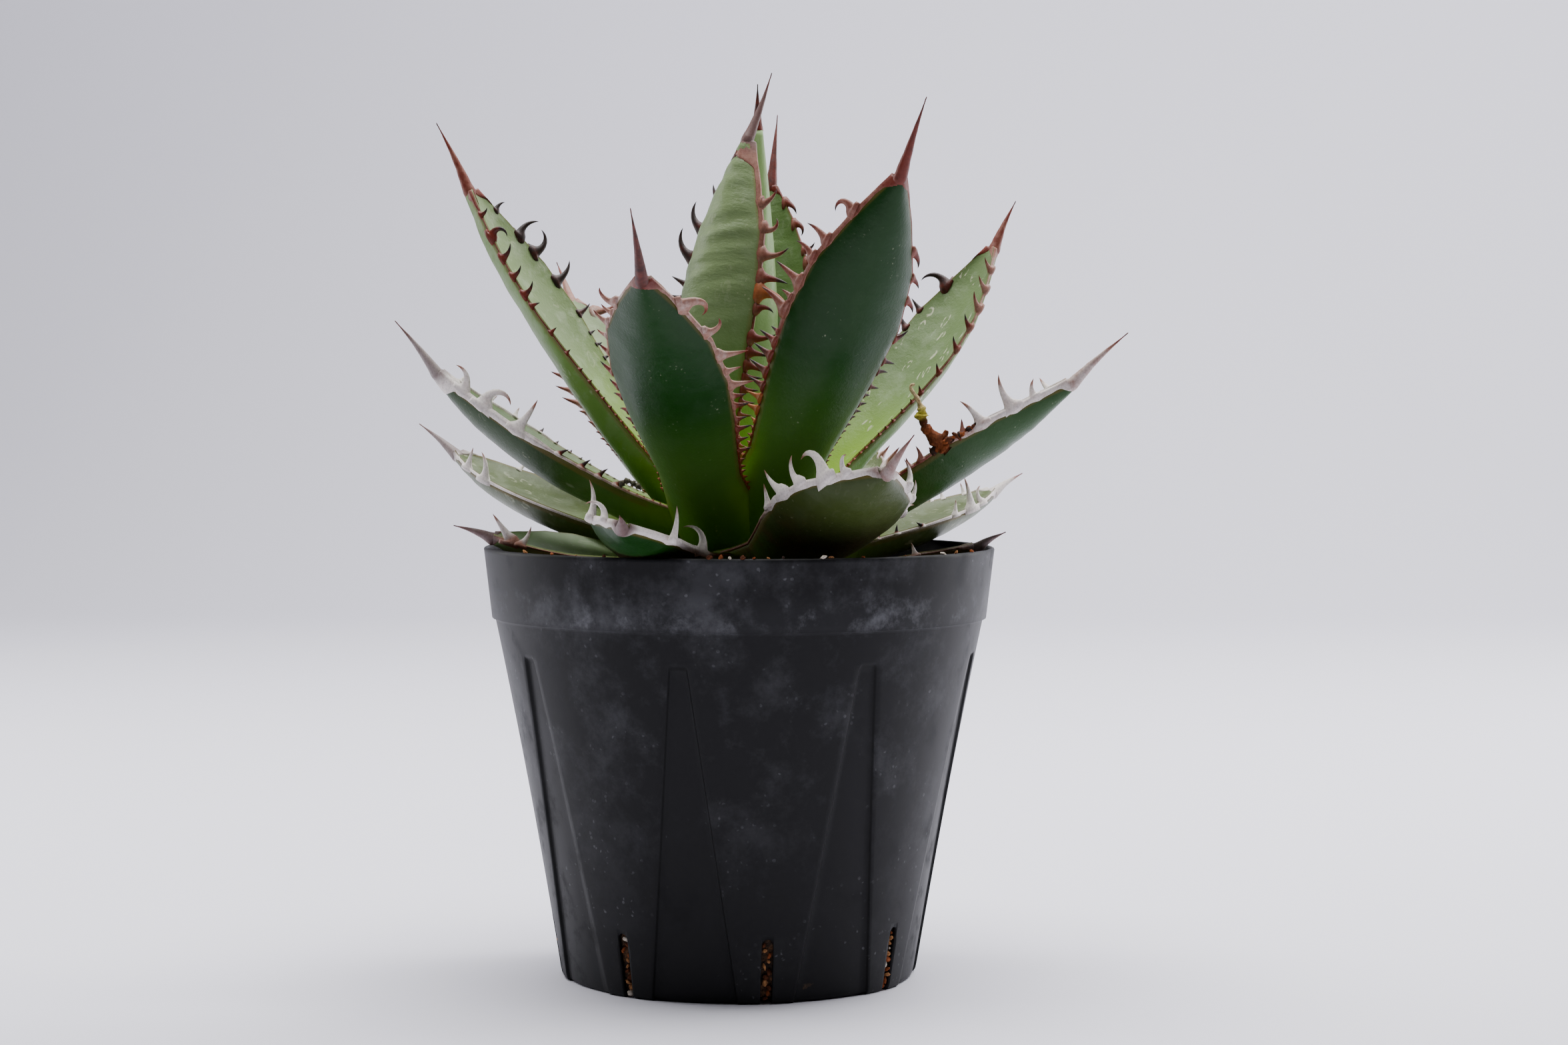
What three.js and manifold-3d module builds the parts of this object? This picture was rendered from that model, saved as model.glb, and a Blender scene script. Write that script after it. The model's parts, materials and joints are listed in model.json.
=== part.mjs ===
// A potted agave: a rosette of stiff, toothed leaves on a short stem, in a round black nursery pot
// with drainage slits. Millimetres, +Z up, the origin at the middle of the pot's underside, and the
// side that is usually looked at facing -Y. Every leaf is two solids: its green blade, and the horny
// armature that grows along its edges as a rim with hooked teeth and ends in a long spine.

import * as THREE from 'three';
import { mergeVertices } from 'three/addons/utils/BufferGeometryUtils.js';
import Module from 'manifold-3d';

const wasm = await Module();
wasm.setup();

// ---- Driving dimensions, mm and degrees ----

// Pot: a 150 mm nursery pot. Its body widens upwards, a collar band stands proud round its mouth.
const POT_HEIGHT = 126;
const RIM_RADIUS = 75;
const WALL = 1.4;
const FLOOR = 1.6;
const COLLAR_FOOT = 105.7; // height of the collar's lower edge
const COLLAR_FOOT_RADIUS = 72.6;
const FOOT_RADIUS = 52.2; // the body's radius at the ground
const FOOT_BEVEL = 2.5;
const BODY_SLOPE = 0.158; // the body's radius grows by this for each mm of height
const BODY_FLARE = 0.00025; // and by this for each mm squared, which makes it slightly hollow
const SECTORS = 8; // slits, and flat facets between them
const FIRST_SLIT = 8.5; // degrees from the front towards +X
const SLIT_WIDTH = 3.4;
const SLIT_HEIGHT = 18.8;
const SLIT_REACH = 7; // how far a slit runs in under the floor
const FACET_TOP = 95.8;
const FACET_DEPTH = 0.9;
const FACET_HALF_FOOT = 12; // half the width of a facet at the ground
const FACET_HALF_TOP = 2;
const FACET_STEP = 0.7; // degrees that a facet's edge takes
const LOWER_RING = 34; // heights of two rings between foot and collar that follow its hollow
const UPPER_RING = 66;

// Soil and stem
const GAP = 0.3; // clearance between solids that touch
const SOIL_CLEAR = 0.6; // clearance between the soil and the faceted wall
const SOIL_MIDDLE = 108.5;
const SOIL_EDGE = 116;
const SOIL_LUMP = 1.1; // height of its lumps
const SOIL_RISE = [34, 66]; // radii between which it rises to its edge
const SOIL_RINGS = [60, 42]; // radii of its lumpy rings
const HOLE_RADIUS = 15.8;
const HOLE_FLOOR = 92;
const STEM_PROFILE = [ // [radius, height]
  [0, 92.4], [13, 92.4], [15.4, 97], [15.4, 110], [12.5, 118], [9, 127], [7.5, 131], [0, 131],
];
const STEM_SIDES = 16;

// Blade: half-width along its length as a share of the widest, and thickness at its middle
const WIDTH_AT = [
  [0, 0.9], [0.12, 0.88], [0.2, 0.79], [0.3, 0.73], [0.5, 0.93], [0.64, 1], [0.78, 0.86], [0.9, 0.5], [1, 0.12],
];
const THICKNESS_AT = [[0, 7.5], [0.3, 6.5], [0.6, 5.5], [0.85, 4.2], [1, 3.2]];
const EDGE_THICKNESS = 1.2;
const ROOT_RADIUS = 7; // where the middle of a blade starts, from the stem's axis
const LINE_STEPS = 48;
const BLADE_STATIONS = [0, 0.15, 0.3, 0.44, 0.58, 0.72, 0.84, 0.95];
const ACROSS_TOP = [-1, -0.5, 0, 0.5, 1];
const ACROSS_BACK = [-1, -0.4, 0.4, 1];

// Armature
const RIM_START = 0.18; // share of the blade's length where its horny rim begins
const RIM_THIN = 0.8; // half-width of the rim near the root
const RIM_THICK = 1.5; // and near the spine
const SPINE_RADIUS = 2.2;
const SPINE_SIDES = 5;
const SPINE_TIP = 0.25; // its radius at the very end
const SPINE_ROOT = 0.965; // share of the blade's length where the spine takes over
const TEETH = 7; // on each edge, from near the root to near the spine
const TOOTH_FIRST = 0.27;
const TOOTH_LAST = 0.95;
const TOOTH_LONG = 8; // near the spine
const TOOTH_SHORT = 3; // near the root
const TOOTH_FOOT = 0.24; // half of a tooth's foot along the rim, as a share of the tooth's length
const TOOTH_WAIST = 0.5; // how wide a tooth still is at its bend, as a share of its foot
const TOOTH_STRAIGHT = 3.6; // a tooth up to this long has no bend
const TOOTH_GROWS = [0.3, 0.85]; // shares of the blade's length between which teeth lengthen
const TOOTH_HOOKS = [0.55, 0.55, -0.5]; // how far teeth in turn lean to the tip or to the root
const TOOTH_LIFT = 0.75; // how far a tooth rises for each mm that it reaches outwards

// Leaves from the inside of the rosette out. azimuth is where the leaf points, from +X towards +Y;
// turn is how much that changes along it; rise and lift are how steeply it climbs at its root and
// at its tip; ease says how late it bends; roll tips it sideways; foot is its root's height; cup is
// half the angle that its section bends through.
const LEAVES = [
  [72, 6, 83, 68, 1, 114, 25, 33, 3, 124, 36],
  [229, -14, 56, 114, 0.5, 125, 22, 33, 4, 123.5, 32],
  [294, 8, 45, 60, 1.5, 136, 24, 35, -18, 124, 34],
  [178, -10, 51, 64, 2, 127, 23, 32, -11, 127, 32],
  [26, 2, 41, 63, 2, 119, 17, 31, 11, 128, 26],
  [85, 6, 42, 50, 1.5, 112, 20, 33, 0, 122, 34],
  [247, 17, 42, 40, 1, 119, 28, 36, -9, 123.5, 27],
  [131, -21, 38, 40, 1, 125, 22, 32, -3, 122.5, 23],
  [352, -5, 24, 43, 2, 104, 22, 32, -4, 123, 36],
  [182, -3, 22, 52, 2.2, 95, 20, 32, -2, 129, 33],
  [106, -8, 22, 34, 2, 102, 20, 32, 0, 121, 32],
  [62, 6, 14, 30, 2, 98, 20, 32, 0, 121, 34],
  [300, -4, 10, 36, 1, 84, 19, 42, -8, 118, 34],
  [158, -20, 13, 30, 2, 101, 20, 30, 0, 121, 30],
  [34, 14, 7.5, 22, 2, 100, 17, 28, 0, 120, 30],
  [234, 36, 5, 17, 1.6, 87, 15, 32, -15, 121.5, 30],
  [84, 10, 9, 20, 1, 84, 18, 30, 0, 120, 32],
  [118, 8, 9, 20, 2, 84, 18, 30, 0, 120, 32],
  [191, -8, 2, 20, 2, 66, 12, 29, -10, 121, 23],
  [352, -3, 1, 31, 2, 64, 10, 26, -10, 115.5, 24],
].map(([azimuth, turn, rise, lift, ease, length, spine, width, roll, foot, cup]) => (
  { azimuth, turn, rise, lift, ease, length, spine, width, roll, foot, cup }
));

// Bud: the furled young leaves at the heart, [height, radius, x, y] up its leaning axis
const BUD = [
  [124, 6.6, 1, 0], [150, 8.6, 1.5, 0], [175, 9.4, 2.5, 3], [196, 9, 3, 5.5],
  [214, 7, 3.8, 8], [232, 4.4, 4.6, 10.4], [249, 1.9, 5, 12.4],
];
const BUD_SIDES = 12;
const BUD_SPINE_TIP = [263, 0.25, 5.2, 14];
const BUD_SPINE_SIDES = 6;

// ---- Helpers ----

const radians = THREE.MathUtils.degToRad;
const lerp = THREE.MathUtils.lerp;

function curve(table, x) {
  // The value at x of a broken line through [x, value] pairs.
  for (let i = 1; i < table.length; i += 1) {
    const [x0, y0] = table[i - 1];
    const [x1, y1] = table[i];
    if (x <= x1) {
      return lerp(y0, y1, (x - x0) / (x1 - x0));
    }
  }
  return table[table.length - 1][1];
}

function seeded(seed) {
  // A small repeatable random number source.
  let state = seed;
  return () => {
    state = (state * 16807) % 2147483647;
    return state / 2147483647;
  };
}

function loft(rings, hubs) {
  // A closed skin over rings of points, each ring listed counterclockwise as seen from the last
  // ring; the first and last ring are closed by fans from two hubs, or from their middle points.
  const sides = rings[0].length;
  const points = rings.flat();
  const middle = (ring) => ring.reduce((sum, p) => sum.add(p), new THREE.Vector3()).divideScalar(sides);
  const start = points.length;
  points.push(...(hubs ?? [middle(rings[0]), middle(rings[rings.length - 1])]));
  const index = [];
  for (let k = 0; k < sides; k += 1) {
    const next = (k + 1) % sides;
    for (let i = 0; i + 1 < rings.length; i += 1) {
      const a = i * sides + k;
      const b = i * sides + next;
      index.push(a, b, b + sides, a, b + sides, a + sides);
    }
    const last = (rings.length - 1) * sides;
    index.push(start, next, k, start + 1, last + k, last + next);
  }
  return geometryOf(points, index);
}

function geometryOf(points, index) {
  const geometry = new THREE.BufferGeometry();
  const flat = points.flatMap((p) => p.toArray());
  geometry.setAttribute('position', new THREE.Float32BufferAttribute(flat, 3));
  geometry.setIndex(index);
  return geometry;
}

function solid(geometry) {
  const bare = geometry.clone();
  bare.deleteAttribute('normal');
  bare.deleteAttribute('uv');
  const merged = mergeVertices(bare, 1e-4);
  return new wasm.Manifold(new wasm.Mesh({
    numProp: 3,
    vertProperties: new Float32Array(merged.attributes.position.array),
    triVerts: new Uint32Array(merged.index.array),
  }));
}

function largest(body) {
  // What is left of a solid once the loose scraps of a cut are dropped.
  return body.decompose().reduce((best, piece) => (piece.volume() > best.volume() ? piece : best));
}

function surface(colour, roughness) {
  return new THREE.MeshStandardMaterial({ color: new THREE.Color(colour), roughness, metalness: 0 });
}

const agave = new THREE.Group();

function add(name, body, material) {
  const { numProp, vertProperties, triVerts } = body.getMesh();
  const geometry = new THREE.BufferGeometry();
  const position = new Float32Array((vertProperties.length / numProp) * 3);
  for (let i = 0; i < position.length / 3; i += 1) {
    position.set(vertProperties.subarray(i * numProp, i * numProp + 3), i * 3);
  }
  geometry.setAttribute('position', new THREE.BufferAttribute(position, 3));
  geometry.setIndex(new THREE.BufferAttribute(new Uint32Array(triVerts), 1));
  geometry.computeVertexNormals();
  const mesh = new THREE.Mesh(geometry, material);
  mesh.name = name;
  agave.add(mesh);
}

// ---- Pot ----

function bodyRadius(z) {
  return FOOT_RADIUS + BODY_SLOPE * z + BODY_FLARE * z * z;
}

function facetHalf(z) {
  // Half the width of a facet at height z.
  return lerp(FACET_HALF_FOOT, FACET_HALF_TOP, z / FACET_TOP);
}

function potColumns(z) {
  // Directions round the pot at height z, in degrees from the front: for each sector its slit, a
  // step across the round panel, and both edges of the facet, raised and sunk.
  const half = 180 / SECTORS;
  const sunk = THREE.MathUtils.radToDeg(Math.asin(facetHalf(Math.min(z, FACET_TOP)) / bodyRadius(z)));
  const raised = sunk + FACET_STEP;
  const away = [half, lerp(half, raised, 0.5), raised, sunk];
  const columns = [];
  const mirrored = away.slice(1).reverse();
  for (let i = 0; i < SECTORS; i += 1) {
    const middle = FIRST_SLIT + (2 * i + 1) * half;
    away.forEach((a) => columns.push({ angle: middle - a, sunk: a === sunk }));
    mirrored.forEach((a) => columns.push({ angle: middle + a, sunk: a === sunk }));
  }
  return columns;
}

function potRing(z, offset, radiusOf) {
  // One ring of the pot's skin, offset inwards, with the facets sunk where the height has them.
  return potColumns(z).map((column) => {
    const faceted = column.sunk && z <= FACET_TOP && !radiusOf;
    const radius = (radiusOf ?? bodyRadius(z)) - offset - (faceted ? FACET_DEPTH : 0);
    const angle = radians(column.angle);
    return new THREE.Vector3(radius * Math.sin(angle), -radius * Math.cos(angle), z);
  });
}

function slitCutter(index) {
  // A bar with a rounded top that cuts one drainage slit, through the wall and in under the floor.
  const shape = new THREE.Shape();
  const half = SLIT_WIDTH / 2;
  const shoulder = SLIT_HEIGHT - half * 0.6;
  shape.moveTo(-half, -1);
  shape.lineTo(half, -1);
  shape.lineTo(half, shoulder);
  shape.lineTo(half * 0.5, SLIT_HEIGHT);
  shape.lineTo(-half * 0.5, SLIT_HEIGHT);
  shape.lineTo(-half, shoulder);
  shape.closePath();
  const depth = SLIT_REACH + 10;
  const bar = new THREE.ExtrudeGeometry(shape, { depth, bevelEnabled: false });
  bar.rotateX(Math.PI / 2);
  bar.translate(0, -(FOOT_RADIUS - SLIT_REACH), 0);
  bar.rotateZ(radians(FIRST_SLIT + (index * 360) / SECTORS));
  return solid(bar);
}

function pot() {
  const outside = [
    potRing(0, FOOT_BEVEL * 0.3),
    potRing(FOOT_BEVEL, 0),
    potRing(LOWER_RING, 0),
    potRing(UPPER_RING, 0),
    potRing(FACET_TOP, 0),
    potRing(FACET_TOP + 0.6, 0),
    potRing(COLLAR_FOOT - 0.4, 0),
    potRing(COLLAR_FOOT, 0, COLLAR_FOOT_RADIUS),
    potRing(POT_HEIGHT - 0.8, 0, RIM_RADIUS),
    potRing(POT_HEIGHT, 0, RIM_RADIUS - 0.5),
  ];
  const inside = [
    potRing(POT_HEIGHT, 0, RIM_RADIUS - WALL),
    potRing(COLLAR_FOOT, 0, bodyRadius(COLLAR_FOOT) - WALL),
    potRing(UPPER_RING, WALL),
    potRing(LOWER_RING, WALL),
    potRing(FLOOR, WALL),
  ];
  let body = solid(loft([...outside, ...inside]));
  for (let i = 0; i < SECTORS; i += 1) {
    body = body.subtract(slitCutter(i));
  }
  return body;
}

// ---- Soil and stem ----

function soilTop(radius) {
  const share = THREE.MathUtils.smoothstep(radius, ...SOIL_RISE);
  return lerp(SOIL_MIDDLE, SOIL_EDGE, share);
}

function soil() {
  // A lumpy mix that fills the pot, with a plain hole for the stem.
  const random = seeded(41);
  const ring = (radius, z, lump) => potColumns(POT_HEIGHT).map((column) => {
    const angle = radians(column.angle);
    const rough = lump * (random() - 0.5) * 2;
    return new THREE.Vector3(radius * Math.sin(angle), -radius * Math.cos(angle), z + rough);
  });
  const mouth = bodyRadius(COLLAR_FOOT) - WALL;
  const edge = THREE.MathUtils.mapLinear(SOIL_EDGE, COLLAR_FOOT, POT_HEIGHT, mouth, RIM_RADIUS - WALL);
  return solid(loft([
    potRing(FLOOR + GAP, WALL + SOIL_CLEAR),
    potRing(LOWER_RING, WALL + SOIL_CLEAR),
    potRing(UPPER_RING, WALL + SOIL_CLEAR),
    potRing(COLLAR_FOOT, GAP, mouth),
    potRing(SOIL_EDGE, GAP, edge),
    ...SOIL_RINGS.map((radius) => ring(radius, soilTop(radius), SOIL_LUMP)),
    ring(HOLE_RADIUS, soilTop(0), 0),
    ring(HOLE_RADIUS, HOLE_FLOOR - GAP, 0),
  ]));
}

function stem(grow = 0) {
  const profile = STEM_PROFILE.map(([r, z]) => new THREE.Vector2(r === 0 ? 0 : r + grow, z));
  return solid(new THREE.LatheGeometry(profile, STEM_SIDES).rotateX(Math.PI / 2));
}

// ---- Leaves ----

function leafFrames(leaf) {
  // The middle line of a blade in small steps, so that any place along it can be looked up.
  const steps = LINE_STEPS;
  const frames = [];
  const start = radians(leaf.azimuth);
  const place = new THREE.Vector3(ROOT_RADIUS * Math.cos(start), ROOT_RADIUS * Math.sin(start), leaf.foot);
  for (let i = 0; i <= steps; i += 1) {
    const share = i / steps;
    const heading = radians(leaf.azimuth + leaf.turn * share);
    const climb = radians(leaf.rise + (leaf.lift - leaf.rise) * share ** leaf.ease);
    const along = new THREE.Vector3(
      Math.cos(climb) * Math.cos(heading),
      Math.cos(climb) * Math.sin(heading),
      Math.sin(climb),
    );
    const across = new THREE.Vector3(-Math.sin(heading), Math.cos(heading), 0);
    across.applyAxisAngle(along, radians(leaf.roll * Math.min(1, 1.5 * share)));
    const up = new THREE.Vector3().crossVectors(along, across);
    frames.push({ place: place.clone(), along, across, up });
    place.addScaledVector(along, leaf.length / steps);
  }
  return frames;
}

function frameAt(leaf, share) {
  leaf.frames ??= leafFrames(leaf);
  const steps = leaf.frames.length - 1;
  const at = Math.min(Math.max(share, 0), 1) * steps;
  const low = Math.min(Math.floor(at), steps - 1);
  const a = leaf.frames[low];
  const b = leaf.frames[low + 1];
  const mix = (key) => a[key].clone().lerp(b[key], at - low);
  const along = mix('along').normalize();
  const across = mix('across').normalize();
  return { place: mix('place'), along, across, up: new THREE.Vector3().crossVectors(along, across) };
}

function bladePoint(leaf, share, side, depth, grow = 0) {
  // A point of the blade: side runs from -1 to 1 across it, depth is how far below its upper face.
  const frame = frameAt(leaf, share);
  const half = (leaf.width / 2) * curve(WIDTH_AT, share);
  const bend = radians(leaf.cup);
  const radius = half / bend;
  const angle = bend * side * (1 + grow / half);
  return frame.place
    .addScaledVector(frame.across, radius * Math.sin(angle))
    .addScaledVector(frame.up, radius * (1 - Math.cos(angle)) - depth);
}

function rimHalf(share) {
  // Half the width of the horny rim.
  return lerp(RIM_THIN, RIM_THICK, THREE.MathUtils.clamp(share, 0, 1));
}

function blade(leaf, grow = 0) {
  // The green blade, which stops a gap short of the rim on each side and of the spine.
  const rings = BLADE_STATIONS.map((share) => {
    const middle = curve(THICKNESS_AT, share);
    const half = (leaf.width / 2) * curve(WIDTH_AT, share);
    const inset = share === 0 ? 0 : rimHalf(share) + GAP;
    const fit = 1 - inset / half;
    const thickness = (side) => lerp(EDGE_THICKNESS, middle, (1 - side * side) ** 0.8);
    const point = (side, depth) => bladePoint(leaf, share, side * fit, depth, grow);
    const upper = ACROSS_TOP.map((side) => point(side, -grow));
    const lower = ACROSS_BACK.map((side) => point(side, thickness(side) + grow));
    return [...lower, ...upper.reverse()];
  });
  if (grow > 0) {
    rings[0].forEach((point) => point.addScaledVector(frameAt(leaf, 0).along, -grow));
    rings[rings.length - 1].forEach((point) => point.addScaledVector(frameAt(leaf, 1).along, grow));
  }
  // Each end is closed from the middle of its thickest place, because a cupped end is a crescent.
  const hubs = [rings[0], rings[rings.length - 1]].map((ring) => ring[1].clone()
    .add(ring[2])
    .multiplyScalar(0.25)
    .addScaledVector(ring[6], 0.5));
  return solid(loft(rings, hubs));
}

function taper(points, radii, sides, up) {
  // A tapering bar through points, with a section of a few sides at each.
  const rings = points.map((point, i) => {
    const before = points[Math.max(i - 1, 0)];
    const after = points[Math.min(i + 1, points.length - 1)];
    const along = after.clone().sub(before).normalize();
    const side = new THREE.Vector3().crossVectors(along, up).normalize();
    const top = new THREE.Vector3().crossVectors(side, along);
    return Array.from({ length: sides }, (_, k) => {
      const angle = (k / sides) * 2 * Math.PI;
      return point.clone()
        .addScaledVector(side, -radii[i] * Math.cos(angle))
        .addScaledVector(top, radii[i] * Math.sin(angle));
    });
  });
  return solid(loft(rings));
}

function toothShares() {
  return Array.from({ length: TEETH }, (_, i) => lerp(TOOTH_FIRST, TOOTH_LAST, (i / (TEETH - 1)) ** 0.85));
}

function rimRing(leaf, share, side, sideShare, grow) {
  // The rim's three-cornered section: its top, its outer corner and its root in the blade's edge.
  const frame = frameAt(leaf, share);
  const half = rimHalf(share) + grow;
  const middle = bladePoint(leaf, share, side * sideShare, EDGE_THICKNESS / 2);
  const out = frame.across.clone().multiplyScalar(side);
  const corner = (outward, upward) => middle.clone()
    .addScaledVector(out, outward * half)
    .addScaledVector(frame.up, upward * half);
  return [corner(-0.4, 1), corner(1, -0.5), corner(-0.9, -0.8)];
}

function toothShape(leaf, share, side, index, grow) {
  // Where a hooked tooth bends and ends: out from the rim, then towards the leaf's tip or root.
  const frame = frameAt(leaf, share);
  const size = lerp(TOOTH_SHORT, TOOTH_LONG, THREE.MathUtils.smoothstep(share, ...TOOTH_GROWS));
  const long = (share > 0.93 ? size * 0.8 : size) + grow;
  const hook = TOOTH_HOOKS[index % TOOTH_HOOKS.length];
  const out = frame.across.clone().multiplyScalar(side).addScaledVector(frame.up, TOOTH_LIFT).normalize();
  const reach = (outward, along) => out.clone()
    .multiplyScalar(long * outward)
    .addScaledVector(frame.along, long * hook * along);
  return { long, bend: reach(0.6, 0.12), end: reach(1, 1) };
}

function toothedRim(leaf, side, grow) {
  // The horny rim along one edge, drawn out at each tooth from the face that looks up and out.
  const shares = toothShares();
  const stations = [{ share: RIM_START, sideShare: 1 }];
  shares.forEach((share, i) => {
    const shape = toothShape(leaf, share, side, i + (side > 0 ? 1 : 0), grow);
    const foot = (TOOTH_FOOT * shape.long) / leaf.length;
    stations.push({ share: share - foot, sideShare: 1, shape });
    stations.push({ share: share + foot, sideShare: 1 });
  });
  stations.push({ share: 1, sideShare: 0.3 });
  const rings = stations.map((at) => rimRing(leaf, at.share, side, at.sideShare, grow));
  const points = rings.flat();
  const index = [];
  const face = (...corners) => index.push(...(side > 0 ? corners : corners.reverse()));
  stations.slice(0, -1).forEach((station, i) => {
    [0, 1, 2].forEach((k) => {
      const next = (k + 1) % 3;
      const quad = [i * 3 + k, i * 3 + next, i * 3 + 3 + next, i * 3 + 3 + k];
      if (k === 0 && station.shape) {
        addTooth(points, face, quad, station.shape, grow);
      } else {
        face(quad[0], quad[2], quad[1]);
        face(quad[0], quad[3], quad[2]);
      }
    });
  });
  const last = points.indexOf(rings[rings.length - 1][0]);
  face(0, 1, 2);
  face(last, last + 2, last + 1);
  return solid(geometryOf(points, index));
}

function addTooth(points, face, quad, shape, grow) {
  // Draws the four-cornered foot on the rim out to the bend, narrowed, and on to a point.
  const foot = quad.map((i) => points[i]);
  const middle = foot.reduce((sum, p) => sum.add(p), new THREE.Vector3()).divideScalar(4);
  let ring = quad;
  if (shape.long > TOOTH_STRAIGHT) {
    const waist = foot.map((p) => p.clone().lerp(middle, 1 - TOOTH_WAIST).add(shape.bend));
    const first = points.length;
    points.push(...waist);
    ring = [first, first + 1, first + 2, first + 3];
    quad.forEach((a, i) => {
      const next = (i + 1) % 4;
      face(a, ring[next], quad[next]);
      face(a, ring[i], ring[next]);
    });
  }
  points.push(middle.clone().add(shape.end).addScaledVector(shape.end.clone().normalize(), grow));
  const apex = points.length - 1;
  ring.forEach((a, i) => face(a, apex, ring[(i + 1) % 4]));
}

function armature(leaf, grow = 0) {
  const tip = frameAt(leaf, 1);
  const at = (distance) => tip.place.clone()
    .addScaledVector(tip.along, distance)
    .addScaledVector(tip.up, -curve(THICKNESS_AT, 1) / 2);
  const root = (SPINE_ROOT - 1) * leaf.length;
  const spine = taper(
    [at(root - grow), at(0), at(leaf.spine * 0.55), at(leaf.spine + grow)],
    [SPINE_RADIUS * 0.8 + grow, SPINE_RADIUS + grow, SPINE_RADIUS * 0.5 + grow, SPINE_TIP + grow],
    SPINE_SIDES,
    tip.up,
  );
  return spine.add(toothedRim(leaf, -1, grow)).add(toothedRim(leaf, 1, grow));
}

function bud() {
  const rings = BUD.map(([z, radius, x, y]) => Array.from({ length: BUD_SIDES }, (_, k) => {
    const angle = (k / BUD_SIDES) * 2 * Math.PI;
    return new THREE.Vector3(x + radius * Math.cos(angle), y + radius * Math.sin(angle), z);
  }));
  return solid(loft(rings));
}

function budSpine() {
  const [z, radius, x, y] = BUD[BUD.length - 1];
  const [tipZ, tipRadius, tipX, tipY] = BUD_SPINE_TIP;
  const foot = new THREE.Vector3(x, y, z + GAP);
  const tip = new THREE.Vector3(tipX, tipY, tipZ);
  return taper([foot, tip], [radius, tipRadius], BUD_SPINE_SIDES, new THREE.Vector3(0, 1, 0));
}

// ---- The whole plant in its pot ----

const BLACK_PLASTIC = surface('#1c1d20', 0.6);
const SOIL_MIX = surface('#4a3a2c', 0.95);
const STEM_SKIN = surface('#8c8a55', 0.8);
const INNER_GREEN = surface('#5f8f3c', 0.45);
const OUTER_GREEN = surface('#2f5a36', 0.45);
const YOUNG_HORN = surface('#7a3a2c', 0.5);
const OLD_HORN = surface('#b4aaa4', 0.6);
const INNER_LEAVES = 6; // the youngest leaves, lighter green with red-brown horn

add('pot', pot(), BLACK_PLASTIC);
add('soil', soil(), SOIL_MIX);

const grownStem = stem(GAP);
add('stem', stem(), STEM_SKIN);
const budBody = bud().subtract(grownStem);
add('bud', largest(budBody), INNER_GREEN);
add('bud_spine', budSpine(), YOUNG_HORN);

const taken = [grownStem, bud()];
LEAVES.forEach((leaf, i) => {
  const young = i < INNER_LEAVES;
  const name = `leaf_${String(i + 1).padStart(2, '0')}`;
  let green = blade(leaf);
  let horn = armature(leaf);
  taken.forEach((other) => {
    green = green.subtract(other);
    horn = horn.subtract(other);
  });
  add(`${name}_blade`, largest(green), young ? INNER_GREEN : OUTER_GREEN);
  add(`${name}_horn`, largest(horn), young ? YOUNG_HORN : OLD_HORN);
  taken.push(blade(leaf, GAP), armature(leaf, GAP));
});

export default agave;
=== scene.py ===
# %% [markdown]
# # A potted agave
# This lesson dresses a packed CAD part in Blender. The part is a hard-leaved agave: a rosette of
# thick cupped leaves, each with a horny edge that carries hooked teeth and ends in a long spine,
# in a round black nursery pot. The CAD frame is loaded first and never changed. Finer pieces are
# then grown from the same named sizes, so they sit exactly where the plain solids are.

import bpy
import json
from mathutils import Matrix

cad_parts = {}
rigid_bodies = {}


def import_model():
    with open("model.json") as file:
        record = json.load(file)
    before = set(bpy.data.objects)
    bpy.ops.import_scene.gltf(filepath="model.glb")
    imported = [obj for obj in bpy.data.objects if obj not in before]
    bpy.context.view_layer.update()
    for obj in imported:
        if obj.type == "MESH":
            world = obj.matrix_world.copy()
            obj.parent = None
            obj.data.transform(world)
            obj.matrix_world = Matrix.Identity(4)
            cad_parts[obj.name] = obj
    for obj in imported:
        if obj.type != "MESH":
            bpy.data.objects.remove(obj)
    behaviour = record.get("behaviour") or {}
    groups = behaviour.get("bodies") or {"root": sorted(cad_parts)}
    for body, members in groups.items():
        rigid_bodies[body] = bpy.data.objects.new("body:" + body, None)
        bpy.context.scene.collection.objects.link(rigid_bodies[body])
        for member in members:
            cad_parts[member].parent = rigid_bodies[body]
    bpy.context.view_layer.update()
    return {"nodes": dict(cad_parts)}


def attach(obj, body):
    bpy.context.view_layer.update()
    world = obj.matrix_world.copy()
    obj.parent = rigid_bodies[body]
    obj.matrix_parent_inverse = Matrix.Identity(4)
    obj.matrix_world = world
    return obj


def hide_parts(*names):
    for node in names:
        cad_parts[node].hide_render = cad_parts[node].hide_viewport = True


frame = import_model()
print("CAD nodes:", len(frame["nodes"]))

# %% Tools for this lesson
import json
import math

import bmesh
import bpy
import numpy as np
from mathutils import Matrix, Vector

MM = 0.001  # the sizes below are in millimetres, Blender's are in metres
print("quick look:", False)

# %% [markdown]
# ## The camera
# A plant like this is photographed from about a metre away with a long lens, level with the
# middle of the leaves, which keeps the pot's rim almost flat. The camera comes first, because
# everything after it is judged through it. Its matrix is built from three plain angles.

# %% Place the camera
CAMERA_PLACE = (1.5, -922.7, 169.4)
CAMERA_YAW = 0.72  # degrees to the right
CAMERA_PITCH = -2.26
CAMERA_ROLL = 0.12
FOCAL_LENGTH = 72.0
SENSOR_WIDTH = 36.0


def camera_matrix():
    yaw, pitch, roll = (math.radians(a) for a in (CAMERA_YAW, CAMERA_PITCH, CAMERA_ROLL))
    look = Vector((math.sin(yaw) * math.cos(pitch), math.cos(yaw) * math.cos(pitch), math.sin(pitch)))
    level = Vector((math.cos(yaw), -math.sin(yaw), 0))
    upright = level.cross(look)
    right = math.cos(roll) * level + math.sin(roll) * upright
    up = math.cos(roll) * upright - math.sin(roll) * level
    turn = Matrix((right, up, -look)).transposed().to_4x4()
    return Matrix.Translation(Vector(CAMERA_PLACE) * MM) @ turn


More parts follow.
